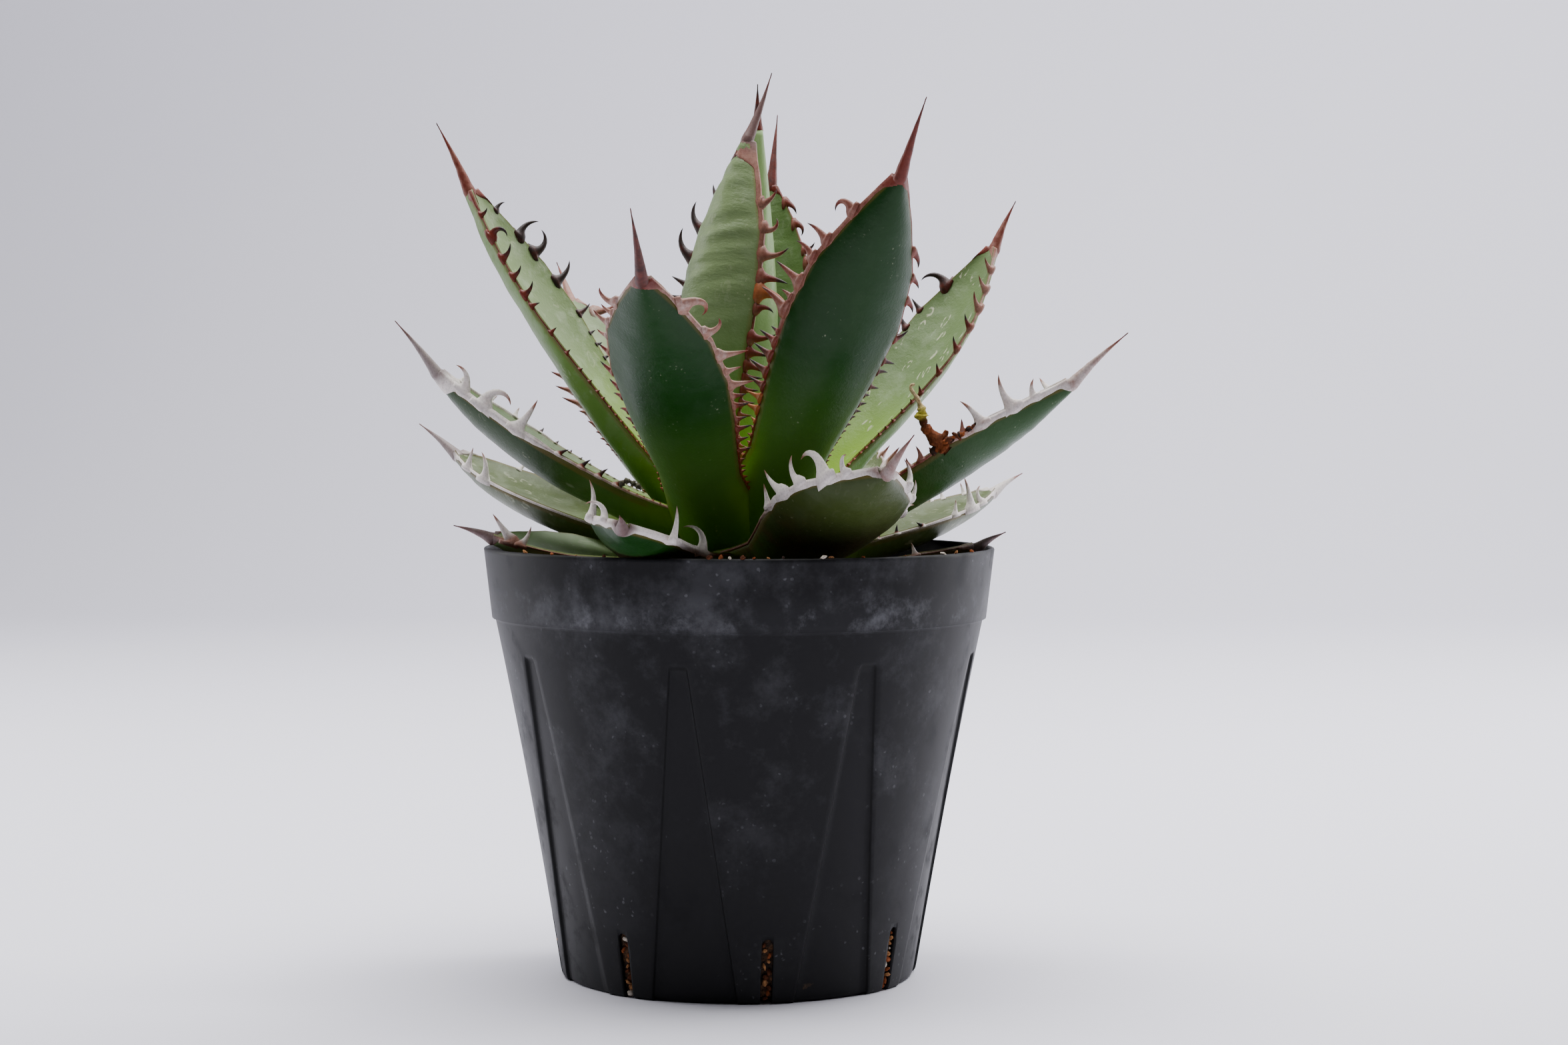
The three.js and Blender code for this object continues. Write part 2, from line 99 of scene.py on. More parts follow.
lens = bpy.data.cameras.new("studio_camera")
lens.lens = FOCAL_LENGTH
lens.sensor_width = SENSOR_WIDTH
lens.sensor_fit = "HORIZONTAL"
lens.clip_end = 20
camera = bpy.data.objects.new("studio_camera", lens)
camera.matrix_world = camera_matrix()
bpy.context.scene.collection.objects.link(camera)
bpy.context.scene.camera = camera
print("camera at", tuple(round(x, 3) for x in camera.location))

# %% [markdown]
# ## Helpers for grown shapes
# Leaves, teeth, spines and the pot are all skins over rings of points, which is what a loft is.
# Numbers that change along a leaf, such as how brown its horn is, are stored on the points as
# attributes, so that a material can read them later without any picture.

# %% Curves, noise, colours and tubes
def along_table(table, x):
    """The value at x of a broken line through (x, value) pairs."""
    xs, ys = zip(*table)
    return np.interp(x, xs, ys)


def smooth(x, low, high):
    """0 up to low, 1 from high on, and an even step between them."""
    t = np.clip((np.asarray(x, float) - low) / (high - low), 0, 1)
    return t * t * (3 - 2 * t)


def mix(a, b, t):
    return a + (b - a) * t


def ripple(a, b, seed, octaves=3):
    """Smooth noise between about -1 and 1 over two coordinates."""
    rng = np.random.default_rng(seed)
    total = np.zeros(np.broadcast(a, b).shape)
    for octave in range(octaves):
        for _ in range(3):
            turn, phase = rng.uniform(0, 2 * np.pi, 2)
            wave = (a * np.cos(turn) + b * np.sin(turn)) * 1.9**octave
            total = total + np.sin(wave + phase) / 1.7**octave
    return total / 3.2


def linear(red, green, blue):
    """A colour as a screen shows it, 0 to 255, as the linear colour that a shader takes."""
    return [((c / 255 + 0.055) / 1.055) ** 2.4 if c > 10 else c / 255 / 12.92 for c in (red, green, blue)]


def unit(v):
    return v / np.linalg.norm(v, axis=-1, keepdims=True)


def circle(sides):
    """Even angles round a circle."""
    return np.linspace(0, 2 * np.pi, sides, endpoint=False)


def tube(line, side, other, wide, high, angle):
    """Rings round a line, that reach wide towards side and high towards other."""
    aside = (wide * np.cos(angle))[..., None] * np.broadcast_to(side, line.shape)[:, None]
    upwards = (high * np.sin(angle))[..., None] * np.broadcast_to(other, line.shape)[:, None]
    return line[:, None] + aside + upwards


print("half way up a smooth step:", float(smooth(0.5, 0, 1)))

# %% Meshes from rings
class Skin:
    """Collects closed lofts, with their point attributes, for one mesh."""

    def __init__(self):
        self.points = []
        self.faces = []
        self.values = {}
        self.count = 0

    def loft(self, rings, hubs=None, **values):
        """rings is (rings, sides, 3). Values are (rings, sides) or (rings, sides, 3)."""
        n, sides = rings.shape[:2]
        start, last = n * sides, (n - 1) * sides
        faces = []
        for i in range(n - 1):
            for k in range(sides):
                a, b = i * sides + k, i * sides + (k + 1) % sides
                faces.append((a, b, b + sides, a + sides))
        for k in range(sides):
            faces.append((start, (k + 1) % sides, k))
            faces.append((start + 1, last + k, last + (k + 1) % sides))
        ends = rings[[0, -1]].mean(axis=1) if hubs is None else np.asarray(hubs)
        self.points.append(np.concatenate([rings.reshape(-1, 3), ends]))
        self.faces += [[i + self.count for i in face] for face in faces]
        self.count += n * sides + len(ends)
        for name, value in values.items():
            value = np.asarray(value, float)
            rows = value.reshape((n * sides,) + value.shape[2:])
            self.values.setdefault(name, []).append(np.concatenate([rows, rows[[0]], rows[[-1]]]))
        return self

    def piece(self, name, material, slot, *nodes):
        """Makes the object, smooth and closed, rides it on the part and puts it for its nodes."""
        mesh = bpy.data.meshes.new(name)
        points = np.concatenate(self.points) * MM
        mesh.from_pydata(points.tolist(), [], self.faces)
        for key, parts in self.values.items():
            value = np.concatenate(parts).astype(np.float32)
            kind = "FLOAT_VECTOR" if value.ndim > 1 else "FLOAT"
            layer = mesh.attributes.new(key, kind, "POINT")
            layer.data.foreach_set("vector" if value.ndim > 1 else "value", value.ravel())
        built = bmesh.new()
        built.from_mesh(mesh)
        bmesh.ops.recalc_face_normals(built, faces=built.faces)
        for face in built.faces:
            face.smooth = True
        built.to_mesh(mesh)
        built.free()
        mesh.materials.append(material)
        made = bpy.data.objects.new(name, mesh)
        bpy.context.scene.collection.objects.link(made)
        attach(made, "root")
        if nodes:
            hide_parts(*nodes)
        return made


print("ready to loft")

# %% [markdown]
# ## Shader groups
# The same few effects come back on skin, horn, plastic and soil: soft blotches, a fine grain,
# settled dust and small broken rings. Each is one node group with named inputs, so every material
# sets its own scale and strength and nothing is built twice. The groups give out only masks and
# heights. A few short helpers keep the wiring readable: a sum of nodes reads as a sum.

# %% A small language for nodes
class Nodes:
    """Places nodes in a tree and wires them. Every value may be a plain one or a socket."""

    def __init__(self, tree):
        self.tree = tree
        self.tree.nodes.clear()

    def feed(self, socket, value):
        """Links a socket to another one, or sets it to a plain value."""
        if isinstance(value, bpy.types.NodeSocket):
            self.tree.links.new(value, socket)
        else:
            socket.default_value = value

    def node(self, kind, inputs=None, **settings):
        made = self.tree.nodes.new(kind)
        for key, value in settings.items():
            setattr(made, key, value)
        for key, value in (inputs or {}).items():
            self.feed(made.inputs[key], value)
        return made

    def maths(self, operation, a, b, clamp=False):
        return self.node("ShaderNodeMath", {0: a, 1: b}, operation=operation, use_clamp=clamp).outputs[0]

    def times(self, made, *factors, clamp=False):
        for factor in factors:
            made = self.maths("MULTIPLY", made, factor, clamp)
        return made

    def plus(self, made, *terms, clamp=False):
        for term in terms:
            made = self.maths("ADD", made, term, clamp)
        return made

    def minus(self, a, b):
        return self.maths("SUBTRACT", a, b)

    def vector(self, operation, a, b):
        return self.node("ShaderNodeVectorMath", {0: a, 1: b}, operation=operation).outputs[0]

    def parts(self, vector):
        return self.node("ShaderNodeSeparateXYZ", {0: vector}).outputs

    def blend(self, amount, a, b, kind="MIX"):
        made = self.node("ShaderNodeMix", data_type="RGBA", blend_type=kind)
        self.feed(made.inputs[0], amount)
        for index, colour in ((6, a), (7, b)):
            linked = isinstance(colour, bpy.types.NodeSocket)
            self.feed(made.inputs[index], colour if linked else (*colour, 1))
        return made.outputs[2]

    def layers(self, colour, *coats):
        """A colour under coats of (amount, colour), laid on in this order."""
        for amount, over in coats:
            colour = self.blend(amount, colour, over)
        return colour

    def step(self, value, low, high):
        """A smooth step from 0 at low to 1 at high, which may be the smaller of the two."""
        limits = {"Value": value, "From Min": low, "From Max": high}
        return self.node("ShaderNodeMapRange", limits, interpolation_type="SMOOTHSTEP").outputs[0]

    def noise(self, place, scale, detail, roughness=0.5):
        given = {"Vector": place, "Scale": scale, "Detail": detail, "Roughness": roughness}
        return self.node("ShaderNodeTexNoise", given).outputs

    def cells(self, place, scale):
        return self.node("ShaderNodeTexVoronoi", {"Vector": place, "Scale": scale}).outputs

    def attribute(self, name, output="Fac"):
        return self.node("ShaderNodeAttribute", attribute_name=name).outputs[output]

    def group(self, tree, **inputs):
        made = self.node("ShaderNodeGroup")
        made.node_tree = tree
        for key, value in inputs.items():
            self.feed(made.inputs[key.replace("_", " ").capitalize()], value)
        return made.outputs


def new_group(name, inputs, outputs):
    """A shader group. Place is a vector; all other inputs and the outputs are numbers."""
    tree = bpy.data.node_groups.new(name, "ShaderNodeTree")
    for labels, way in ((inputs, "INPUT"), (outputs, "OUTPUT")):
        for label in labels:
            kind = "NodeSocketVector" if label == "Place" else "NodeSocketFloat"
            tree.interface.new_socket(label, in_out=way, socket_type=kind)
    nodes = Nodes(tree)
    return nodes, nodes.node("NodeGroupInput").outputs, nodes.node("NodeGroupOutput").inputs


print("node helpers:", [name for name in vars(Nodes) if not name.startswith("_")])

# %% Blotches, grain, dust and crescents
def make_blotches():
    """Soft patches: noise at a given scale, kept where it is above a level."""
    nodes, given, out = new_group("blotches", ["Place", "Scale", "Level", "Softness"], ["Mask", "Noise"])
    noise = nodes.noise(given["Place"], given["Scale"], 5.0, 0.6)["Fac"]
    low = nodes.minus(given["Level"], given["Softness"])
    high = nodes.plus(given["Level"], given["Softness"])
    nodes.feed(out["Mask"], nodes.step(noise, low, high))
    nodes.feed(out["Noise"], noise)
    return nodes.tree


def make_grain():
    """A fine skin: a small and a smaller noise, as a height."""
    nodes, given, out = new_group("grain", ["Place", "Scale"], ["Height"])
    coarse = nodes.noise(given["Place"], given["Scale"], 3.0)["Fac"]
    fine = nodes.noise(given["Place"], nodes.times(given["Scale"], 3.1), 2.0)["Fac"]
    nodes.feed(out["Height"], nodes.plus(coarse, nodes.times(fine, 0.4)))
    return nodes.tree


def make_dust():
    """Settled dust and splashes: patches with specks in them."""
    inputs = ["Place", "Patch scale", "Level", "Speck scale"]
    nodes, given, out = new_group("dust", inputs, ["Film", "Specks"])
    patch = nodes.noise(given["Place"], given["Patch scale"], 7.0, 0.68)["Fac"]
    dot = nodes.step(nodes.cells(given["Place"], given["Speck scale"])["Distance"], 0.34, 0.2)
    few = nodes.noise(given["Place"], given["Speck scale"], 0.0)["Fac"]
    nodes.feed(out["Film"], nodes.step(patch, given["Level"], nodes.plus(given["Level"], 0.22)))
    nodes.feed(out["Specks"], nodes.times(dot, nodes.step(few, 0.6, 0.68)))
    return nodes.tree


def make_crescents():
    """Small broken rings, as pests and rubbing leave on a hard skin: the rims of scattered cells."""
    nodes, given, out = new_group("crescents", ["Place", "Scale"], ["Mask"])
    sway = nodes.noise(given["Place"], given["Scale"], 1.0)["Color"]
    bent = nodes.vector("ADD", given["Place"], nodes.vector("MULTIPLY", sway, (3.0, 3.0, 0.0)))
    cells = nodes.cells(bent, given["Scale"])
    rim = nodes.times(nodes.step(cells["Distance"], 0.17, 0.22), nodes.step(cells["Distance"], 0.34, 0.28))
    chosen = nodes.node("ShaderNodeSeparateColor", {0: cells["Color"]}).outputs[0]
    broken = nodes.noise(given["Place"], nodes.times(given["Scale"], 2.6), 2.0)["Fac"]
    part = nodes.times(nodes.step(chosen, 0.35, 0.45), nodes.step(broken, 0.46, 0.54))
    nodes.feed(out["Mask"], nodes.times(rim, part))
    return nodes.tree


BLOTCHES = make_blotches()
GRAIN = make_grain()
DUST = make_dust()
CRESCENTS = make_crescents()
print("shader groups:", [g.name for g in bpy.data.node_groups])


# %% A material with its Principled shader
def new_material(name):
    made = bpy.data.materials.new(name)
    made.use_nodes = True
    nodes = Nodes(made.node_tree)
    shader = nodes.node("ShaderNodeBsdfPrincipled")
    output = nodes.node("ShaderNodeOutputMaterial")
    made.node_tree.links.new(shader.outputs[0], output.inputs["Surface"])
    return made, nodes, shader


def wire(nodes, shader, colour, roughness, height, strength, distance, specular=0.5):
    """Feeds the shader; a height in the range 0 to 1 stands for distance mm."""
    nodes.feed(shader.inputs["Base Color"], colour)
    nodes.feed(shader.inputs["Roughness"], roughness)
    shader.inputs["Specular IOR Level"].default_value = specular
    bump = nodes.node("ShaderNodeBump", {"Strength": strength, "Distance": distance * MM, "Height": height})
    nodes.feed(shader.inputs["Normal"], bump.outputs[0])


def body_place(nodes):
    """Where a point is on the piece, in metres."""
    return nodes.node("ShaderNodeTexCoord").outputs["Object"]


print("materials so far:", len(bpy.data.materials))

# %% [markdown]
# ## Leaf skin
# An agave leaf has a hard, waxy skin. It is deep green where it was shaded and paler where the
# wax lies thick, and it shows rubbed streaks, small pale scars, broken rings and dull blotches.
# The main colour is stored on the points, from two greens per leaf that turn yellow-green towards
# the heart, partly the bases' own paler colour and partly painted glow of light coming through.
# The nodes add all that is finer, also the fine folds that cross some leaves.

# %% The leaf skin
PALE_WAX = linear(196, 204, 186)
SCAR = linear(205, 205, 178)
EARTH = linear(92, 62, 38)
EDGE_LINE = linear(120, 92, 40)


def leaf_skin():
    made, nodes, shader = new_material("leaf_skin")
    skin = nodes.attribute("skin", "Vector")
    grow = nodes.attribute("grow", "Vector")
    wax, dirt, scarred = nodes.parts(nodes.attribute("finish", "Vector"))
    wide = nodes.group(BLOTCHES, place=grow, scale=0.045, level=0.5, softness=0.16)
    close = nodes.group(BLOTCHES, place=grow, scale=0.16, level=0.56, softness=0.09)
    rubbed = nodes.vector("MULTIPLY", grow, (0.3, 1.0, 1.0))
    streaks = nodes.group(BLOTCHES, place=rubbed, scale=0.42, level=0.68, softness=0.035)["Mask"]
    scars = nodes.group(DUST, place=grow, patch_scale=0.1, level=0.5, speck_scale=0.9)
    drawn_out = nodes.vector("MULTIPLY", grow, (0.55, 1.1, 1.0))
    rings = nodes.group(CRESCENTS, place=drawn_out, scale=0.26)["Mask"]
    grime = nodes.group(DUST, place=grow, patch_scale=0.14, level=0.42, speck_scale=0.55)["Film"]
    soiled = nodes.times(grime, dirt, clamp=True)
    colour = nodes.layers(
        skin,
        (nodes.times(wide["Noise"], 0.55), nodes.blend(1.0, skin, (0.55, 0.62, 0.5), "MULTIPLY")),
        (nodes.times(close["Mask"], wax, 0.34), PALE_WAX),
        (nodes.times(streaks, wax, 0.5), PALE_WAX),
        (nodes.times(scars["Specks"], scars["Film"], 0.3), SCAR),
        (nodes.times(rings, scarred, 0.6), SCAR),
        (nodes.times(soiled, 0.75), EARTH),
        (nodes.times(nodes.step(nodes.attribute("edge"), 0.6, 0.0), 0.4), EDGE_LINE),
    )
    roughness = nodes.plus(nodes.times(close["Noise"], 0.3), 0.24, nodes.times(soiled, 0.3))
    grain = nodes.group(GRAIN, place=grow, scale=1.3)["Height"]
    lengthways = nodes.vector("MULTIPLY", grow, (1.0, 0.3, 1.0))
    crossing = nodes.group(BLOTCHES, place=lengthways, scale=0.17, level=0.5, softness=0.2)["Noise"]
    folded = nodes.times(crossing, nodes.attribute("folds"), 8.0)
    height = nodes.plus(grain, nodes.times(close["Noise"], 2.0), folded)
    wire(nodes, shader, colour, roughness, height, strength=0.35, distance=0.25, specular=0.18)
    return made


LEAF_SKIN = leaf_skin()
print("made", LEAF_SKIN.name)

# %% [markdown]
# ## Horn
# Teeth and spines are dead horny tissue. On young leaves they are red-brown, on old ones they have
# bleached to a bony grey, and the needle tips stay dark. One material reads how brown a place is
# from an attribute, so a tooth can fade from a white foot to a brown tip. A second attribute lays
# on painted amber glow, where light shines through the horn, or the real weathered grey.

# %% The horn
BONE = linear(226, 217, 212)
PINK_HORN = linear(150, 106, 90)
RED_HORN = linear(108, 38, 24)
DARK_HORN = linear(34, 16, 12)
AMBER_GLOW = linear(192, 108, 44)
GREY_HORN = linear(98, 80, 80)


def horn_finish():
    made, nodes, shader = new_material("horn")
    place = body_place(nodes)
    cloud = nodes.group(BLOTCHES, place=place, scale=420.0, level=0.5, softness=0.2)["Noise"]
    fine = nodes.group(BLOTCHES, place=place, scale=1700.0, level=0.55, softness=0.1)["Mask"]
    stain = nodes.parts(nodes.attribute("stain", "Vector"))
    shade = nodes.plus(nodes.attribute("tone"), nodes.times(nodes.minus(cloud, 0.5), 0.42))
    colour = nodes.layers(
        BONE,
        (nodes.step(shade, 0.05, 0.42), PINK_HORN),
        (nodes.step(shade, 0.4, 0.72), RED_HORN),
        (nodes.step(shade, 0.7, 0.98), DARK_HORN),
        # Painted glow: amber where light shines through the horn; the grey after it is real weathering
        (stain["X"], AMBER_GLOW),
        (nodes.times(stain["Y"], nodes.step(shade, 1.0, 0.5)), GREY_HORN),
        (nodes.times(fine, 0.22), DARK_HORN),
    )
    roughness = nodes.plus(nodes.times(cloud, 0.3), 0.32)
    grain = nodes.group(GRAIN, place=place, scale=1400.0)["Height"]
    wire(nodes, shader, colour, roughness, grain, strength=0.4, distance=0.15, specular=0.3)
    return made


HORN = horn_finish()
print("made", HORN.name)

# %% [markdown]
# ## The leaves' shared form
# Every leaf follows the same rule: a middle line that climbs and turns, a cupped section whose
# width and thickness change along it, and an edge that carries the horn. The numbers are those of
# the CAD part, so the detailed leaf lies on the plain one.

# %% Leaf sizes
# (share of the length, share of the full width) and (share of the length, thickness in mm)
WIDTH_AT = [
    (0, 0.9), (0.12, 0.88), (0.2, 0.79), (0.3, 0.73), (0.5, 0.93), (0.64, 1), (0.78, 0.86),
    (0.9, 0.5), (1, 0.12),
]
THICKNESS_AT = [(0, 7.5), (0.3, 6.5), (0.6, 5.5), (0.85, 4.2), (1, 3.2)]
EDGE_THICKNESS = 1.2
ROOT_RADIUS = 7
LINE_STEPS = 48

LEAF_FIELDS = ("azimuth", "turn", "rise", "lift", "ease", "length", "spine", "width", "roll", "foot", "cup")
LEAVES = [
    (72, 6, 83, 68, 1, 114, 25, 33, 3, 124, 36),
    (229, -14, 56, 114, 0.5, 125, 22, 33, 4, 123.5, 32),
    (294, 8, 45, 60, 1.5, 136, 24, 35, -18, 124, 34),
    (178, -10, 51, 64, 2, 127, 23, 32, -11, 127, 32),
    (26, 2, 41, 63, 2, 119, 17, 31, 11, 128, 26),
    (85, 6, 42, 50, 1.5, 112, 20, 33, 0, 122, 34),
    (247, 17, 42, 40, 1, 119, 28, 36, -9, 123.5, 27),
    (131, -21, 38, 40, 1, 125, 22, 32, -3, 122.5, 23),
    (352, -5, 24, 43, 2, 104, 22, 32, -4, 123, 36),
    (182, -3, 22, 52, 2.2, 95, 20, 32, -2, 129, 33),
    (106, -8, 22, 34, 2, 102, 20, 32, 0, 121, 32),
    (62, 6, 14, 30, 2, 98, 20, 32, 0, 121, 34),
    (300, -4, 10, 36, 1, 84, 19, 42, -8, 118, 34),
    (158, -20, 13, 30, 2, 101, 20, 30, 0, 121, 30),
    (34, 14, 7.5, 22, 2, 100, 17, 28, 0, 120, 30),
    (234, 36, 5, 17, 1.6, 87, 15, 32, -15, 121.5, 30),
    (84, 10, 9, 20, 1, 84, 18, 30, 0, 120, 32),
    (118, 8, 9, 20, 2, 84, 18, 30, 0, 120, 32),
    (191, -8, 2, 20, 2, 66, 12, 29, -10, 121, 23),
    (352, -3, 1, 31, 2, 64, 10, 26, -10, 115.5, 24),
]
print("leaves:", len(LEAVES))


# %% A leaf's middle line and section
class Leaf:
    def __init__(self, number, row):
        self.number = number
        self.name = f"leaf_{number:02d}"
        for field, value in zip(LEAF_FIELDS, row):
            setattr(self, field, value)
        share = np.linspace(0, 1, LINE_STEPS + 1)
        heading = np.radians(self.azimuth + self.turn * share)
        climb = np.radians(self.rise + (self.lift - self.rise) * share**self.ease)
        self.share = share
        level = np.cos(climb)
        self.along = np.stack([level * np.cos(heading), level * np.sin(heading), np.sin(climb)], 1)
        across = np.stack([-np.sin(heading), np.cos(heading), 0 * heading], 1)
        up = np.cross(self.along, across)
        roll = np.radians(self.roll * np.minimum(1, 1.5 * share))[:, None]
        self.across = across * np.cos(roll) + up * np.sin(roll)
        start = np.radians(self.azimuth)
        root = np.array([ROOT_RADIUS * np.cos(start), ROOT_RADIUS * np.sin(start), self.foot])
        steps = self.along[:-1] * self.length / LINE_STEPS
        self.place = np.concatenate([[root], root + np.cumsum(steps, 0)])

    def frame(self, s):
        """Place, along, across and up at shares s of the leaf's length."""
        def pick(rows):
            return np.stack([np.interp(s, self.share, rows[:, k]) for k in range(3)], -1)
        along, across = unit(pick(self.along)), unit(pick(self.across))
        return pick(self.place), along, across, np.cross(along, across)

    def half(self, s):
        return self.width / 2 * along_table(WIDTH_AT, s)

    def thickness(self, s, v):
        middle = along_table(THICKNESS_AT, s)
        return mix(EDGE_THICKNESS, middle, np.clip(1 - v * v, 0, 1) ** 0.8)

    def point(self, s, v, depth):
        """A point of the blade: v from -1 to 1 across it, depth below its upper face."""
        place, along, across, up = self.frame(s)
        bend = np.radians(self.cup)
        radius = self.half(s) / bend
        sideways = (radius * np.sin(bend * v))[..., None]
        upwards = (radius * (1 - np.cos(bend * v)) - depth)[..., None]
        return place + across * sideways + up * upwards

    def edge(self, s, side):
        """The middle of the blade's edge, and the directions out of it and along it."""
        place, along, across, up = self.frame(s)
        bend = np.radians(self.cup)
        middle = self.point(s, side * np.ones_like(s), np.full_like(s, EDGE_THICKNESS / 2))
        out = side * across * np.cos(bend) + up * np.sin(bend)
        normal = up * np.cos(bend) - side * across * np.sin(bend)
        return middle, out, along, normal


leaves = [Leaf(i + 1, row) for i, row in enumerate(LEAVES)]
print("longest leaf:", max(leaf.length + leaf.spine for leaf in leaves), "mm")

# %% [markdown]
# ## Teeth
# Big hooked teeth stand a centimetre apart near the tip of a leaf and curl towards it or back to
# the root. Lower down they shrink to a dense row of small points. The teeth that face the viewer
# are placed one by one, as (share of the length, reach outwards, reach along, hook), with a fifth
# number where a tooth also curls up from the leaf, or down if it is negative. Reaches are in mm,
# hooks and curls in degrees. The rest are grown by rule from a fixed seed, so that every run gives
# the same plant.

# %% Teeth placed one by one
TEETH = {
    (2, 1): [
        (0.85, 3, 5, 60), (0.79, 2.5, 3.5, 170), (0.725, 7, 3, 60), (0.67, 8, -1, -20),
        (0.635, 9, -4, -50), (0.595, 5, -1, -80), (0.525, 7, 1.5, 40), (0.49, 6, -1, -10),
        (0.46, 5.5, -2, -10), (0.43, 5, 0, 0), (0.4, 4.5, 0, 0), (0.37, 4, 0, 0), (0.34, 3.5, 0, 0),
    ],
    (2, -1): [(0.865, 2.5, 4, 30), (0.79, 4, 8, 90), (0.72, 5, 8.5, 90), (0.655, 5, 2, 0)],
    (1, -1): [(0.945, 3.5, -4, -60), (0.88, 2, -4, -120), (0.8, 3, 2.5, 60)],
    (3, -1): [
        (0.9, 4.5, -3, -170), (0.82, 7, 1, -40), (0.775, 6, 1, -60), (0.71, 8.5, 1, -10),
        (0.67, 3.5, 0, -30), (0.64, 8.5, 1, -30), (0.585, 2.5, 0, 0), (0.56, 5.5, 0, -10),
        (0.525, 6, 0, 0), (0.485, 6, 0, 0), (0.45, 5, -0.5, 0), (0.42, 4.5, -1, 0), (0.39, 4.5, -1, 0),
    ],
    (3, 1): [
        (0.83, 3, -4.5, -60), (0.77, 3, -3, -40), (0.715, 3, -3.5, -50), (0.62, 3, 3, 40),
        (0.56, 4, -1, 0),
    ],
    (4, 1): [
        (0.93, 2.5, 1, 60), (0.87, 4.5, -1, -170), (0.81, 4, 2.5, 60), (0.76, 3.5, 1.5, 60),
        (0.71, 4, 2, 60),
    ],
    (4, -1): [
        (0.94, 3.5, 1, -60), (0.865, 7, 1, -80), (0.815, 5, 5, 120), (0.73, 6.5, 3.5, 60),
        (0.635, 4.5, 1, 30), (0.58, 2, 0, 0),
    ],
    (5, -1): [
        (0.93, 4, 2, 30), (0.87, 4.5, 2, 30), (0.81, 4.5, 3, 40), (0.75, 4, 2, 40), (0.68, 3.5, 2, 30),
        (0.6, 2.5, 1.5, 20), (0.53, 2, 1, 0),
    ],
    (5, 1): [(0.87, 7, -2.5, -130), (0.78, 4, 2, 0), (0.72, 4, 3, 20)],
    (7, 1): [
        (0.9, 4, -5.5, -180), (0.805, 3.5, 4.5, 120), (0.725, 7.5, -0.5, 10), (0.67, 4, 0.5, 0),
        (0.62, 6, -0.5, 0), (0.58, 3.5, -0.5, 0), (0.545, 4, -0.5, 0), (0.495, 3, 0, 0),
        (0.46, 4, 0, 0), (0.42, 3, 0, 0), (0.38, 3.5, 0, 0),
    ],
    (7, -1): [
        (0.88, 4, 4, 140), (0.84, 3, 2, 60), (0.8, 4, 3, 60), (0.75, 3, 1, 60), (0.69, 3, 2, 30),
        (0.62, 3.5, 2.5, 30), (0.57, 2.5, 2, 30),
    ],
    (8, 1): [
        (0.67, 4, 1.5, 20), (0.615, 5, 1, 20), (0.565, 5.5, 1.5, 20), (0.53, 2.5, 0, 0),
        (0.485, 2, 1, 0),
    ],
    (9, -1): [
        (0.905, 3.5, 3, 60), (0.84, 9, 2.5, 40), (0.745, 8, -1.5, -30), (0.685, 3.5, 2, 0),
        (0.545, 4, 0.5, -30),
    ],
    (10, 1): [
        (0.905, 3, 6.5, 110), (0.825, 4.5, -6, -170), (0.695, 9.5, 0, 15), (0.545, 2.5, -2, -20),
        (0.465, 3, -1.5, -20), (0.405, 3, -1.5, -20), (0.345, 2.5, -2, -20),
    ],
    (13, -1): [
        (0.92, 3, 4, 150), (0.86, 9, -7, -130), (0.78, 7, 2, 110), (0.69, 8.5, -4, 40),
        (0.59, 5.5, 1.5, 0),
    ],
    (13, 1): [(0.87, 7.5, 2, 0, 70), (0.77, 4, 3, 0, 50), (0.65, 5.5, -1, 0, -60)],
    (14, 1): [(0.865, 6, 0.5, 0), (0.76, 6.5, 4, 60)],
    (14, -1): [(0.83, 3.5, 0, 0)],
    (15, -1): [
        (0.83, 4.5, 2, 120), (0.755, 9, 1, -20), (0.67, 4, 2, 0), (0.53, 1.5, -2, 0),
        (0.435, 2.5, 1, 30), (0.365, 2, 1.5, -30),
    ],
    (15, 1): [(0.93, 3.5, 1, 0), (0.86, 3, 1, 0)],
    (16, -1): [(0.93, 8, 1, 0, -140), (0.82, 9.5, 1, 0, -40)],
    (16, 1): [(0.82, 8.5, 1, 0, 20), (0.555, 10.5, -2, 0, 120)],
    (19, 1): [(0.92, 3, 8.5, 0), (0.87, 5.5, -1, 30)],
    (20, -1): [(0.75, 3.5, 0, 0)],
}
# How far the teeth of an edge lean towards the leaf's upper face, in degrees, where it isn't usual
TOOTH_LEAN = {
    (1, -1): -20, (2, -1): -60, (2, 1): -10, (3, 1): -20, (4, 1): 60, (4, -1): 20, (5, -1): 65,
    (5, 1): 20, (7, -1): -10, (7, 1): 0, (8, 1): -10, (9, -1): 45, (10, 1): 60, (13, -1): 40,
    (13, 1): 30, (14, 1): 60, (15, -1): 70, (15, 1): 35, (16, -1): 60, (16, 1): 60, (19, 1): 75,
    (20, -1): 50,
}
USUAL_LEAN = 15
FIRST_SMALL_TOOTH = 0.2
print("teeth placed by hand:", sum(len(row) for row in TEETH.values()))


# %% Teeth grown by rule
# How big the grown teeth of an edge are, where it isn't 1, and the edges on which none grow
GROWN_SIZE = {
    (4, 1): 0.4, (4, -1): 0.6, (5, -1): 0.45, (5, 1): 0.5, (10, -1): 0.5, (10, 1): 0.5, (15, 1): 0.4,
}
NONE_GROWN = {(15, -1)} | {(number, side) for number in (13, 14, 16, 19, 20) for side in (-1, 1)}


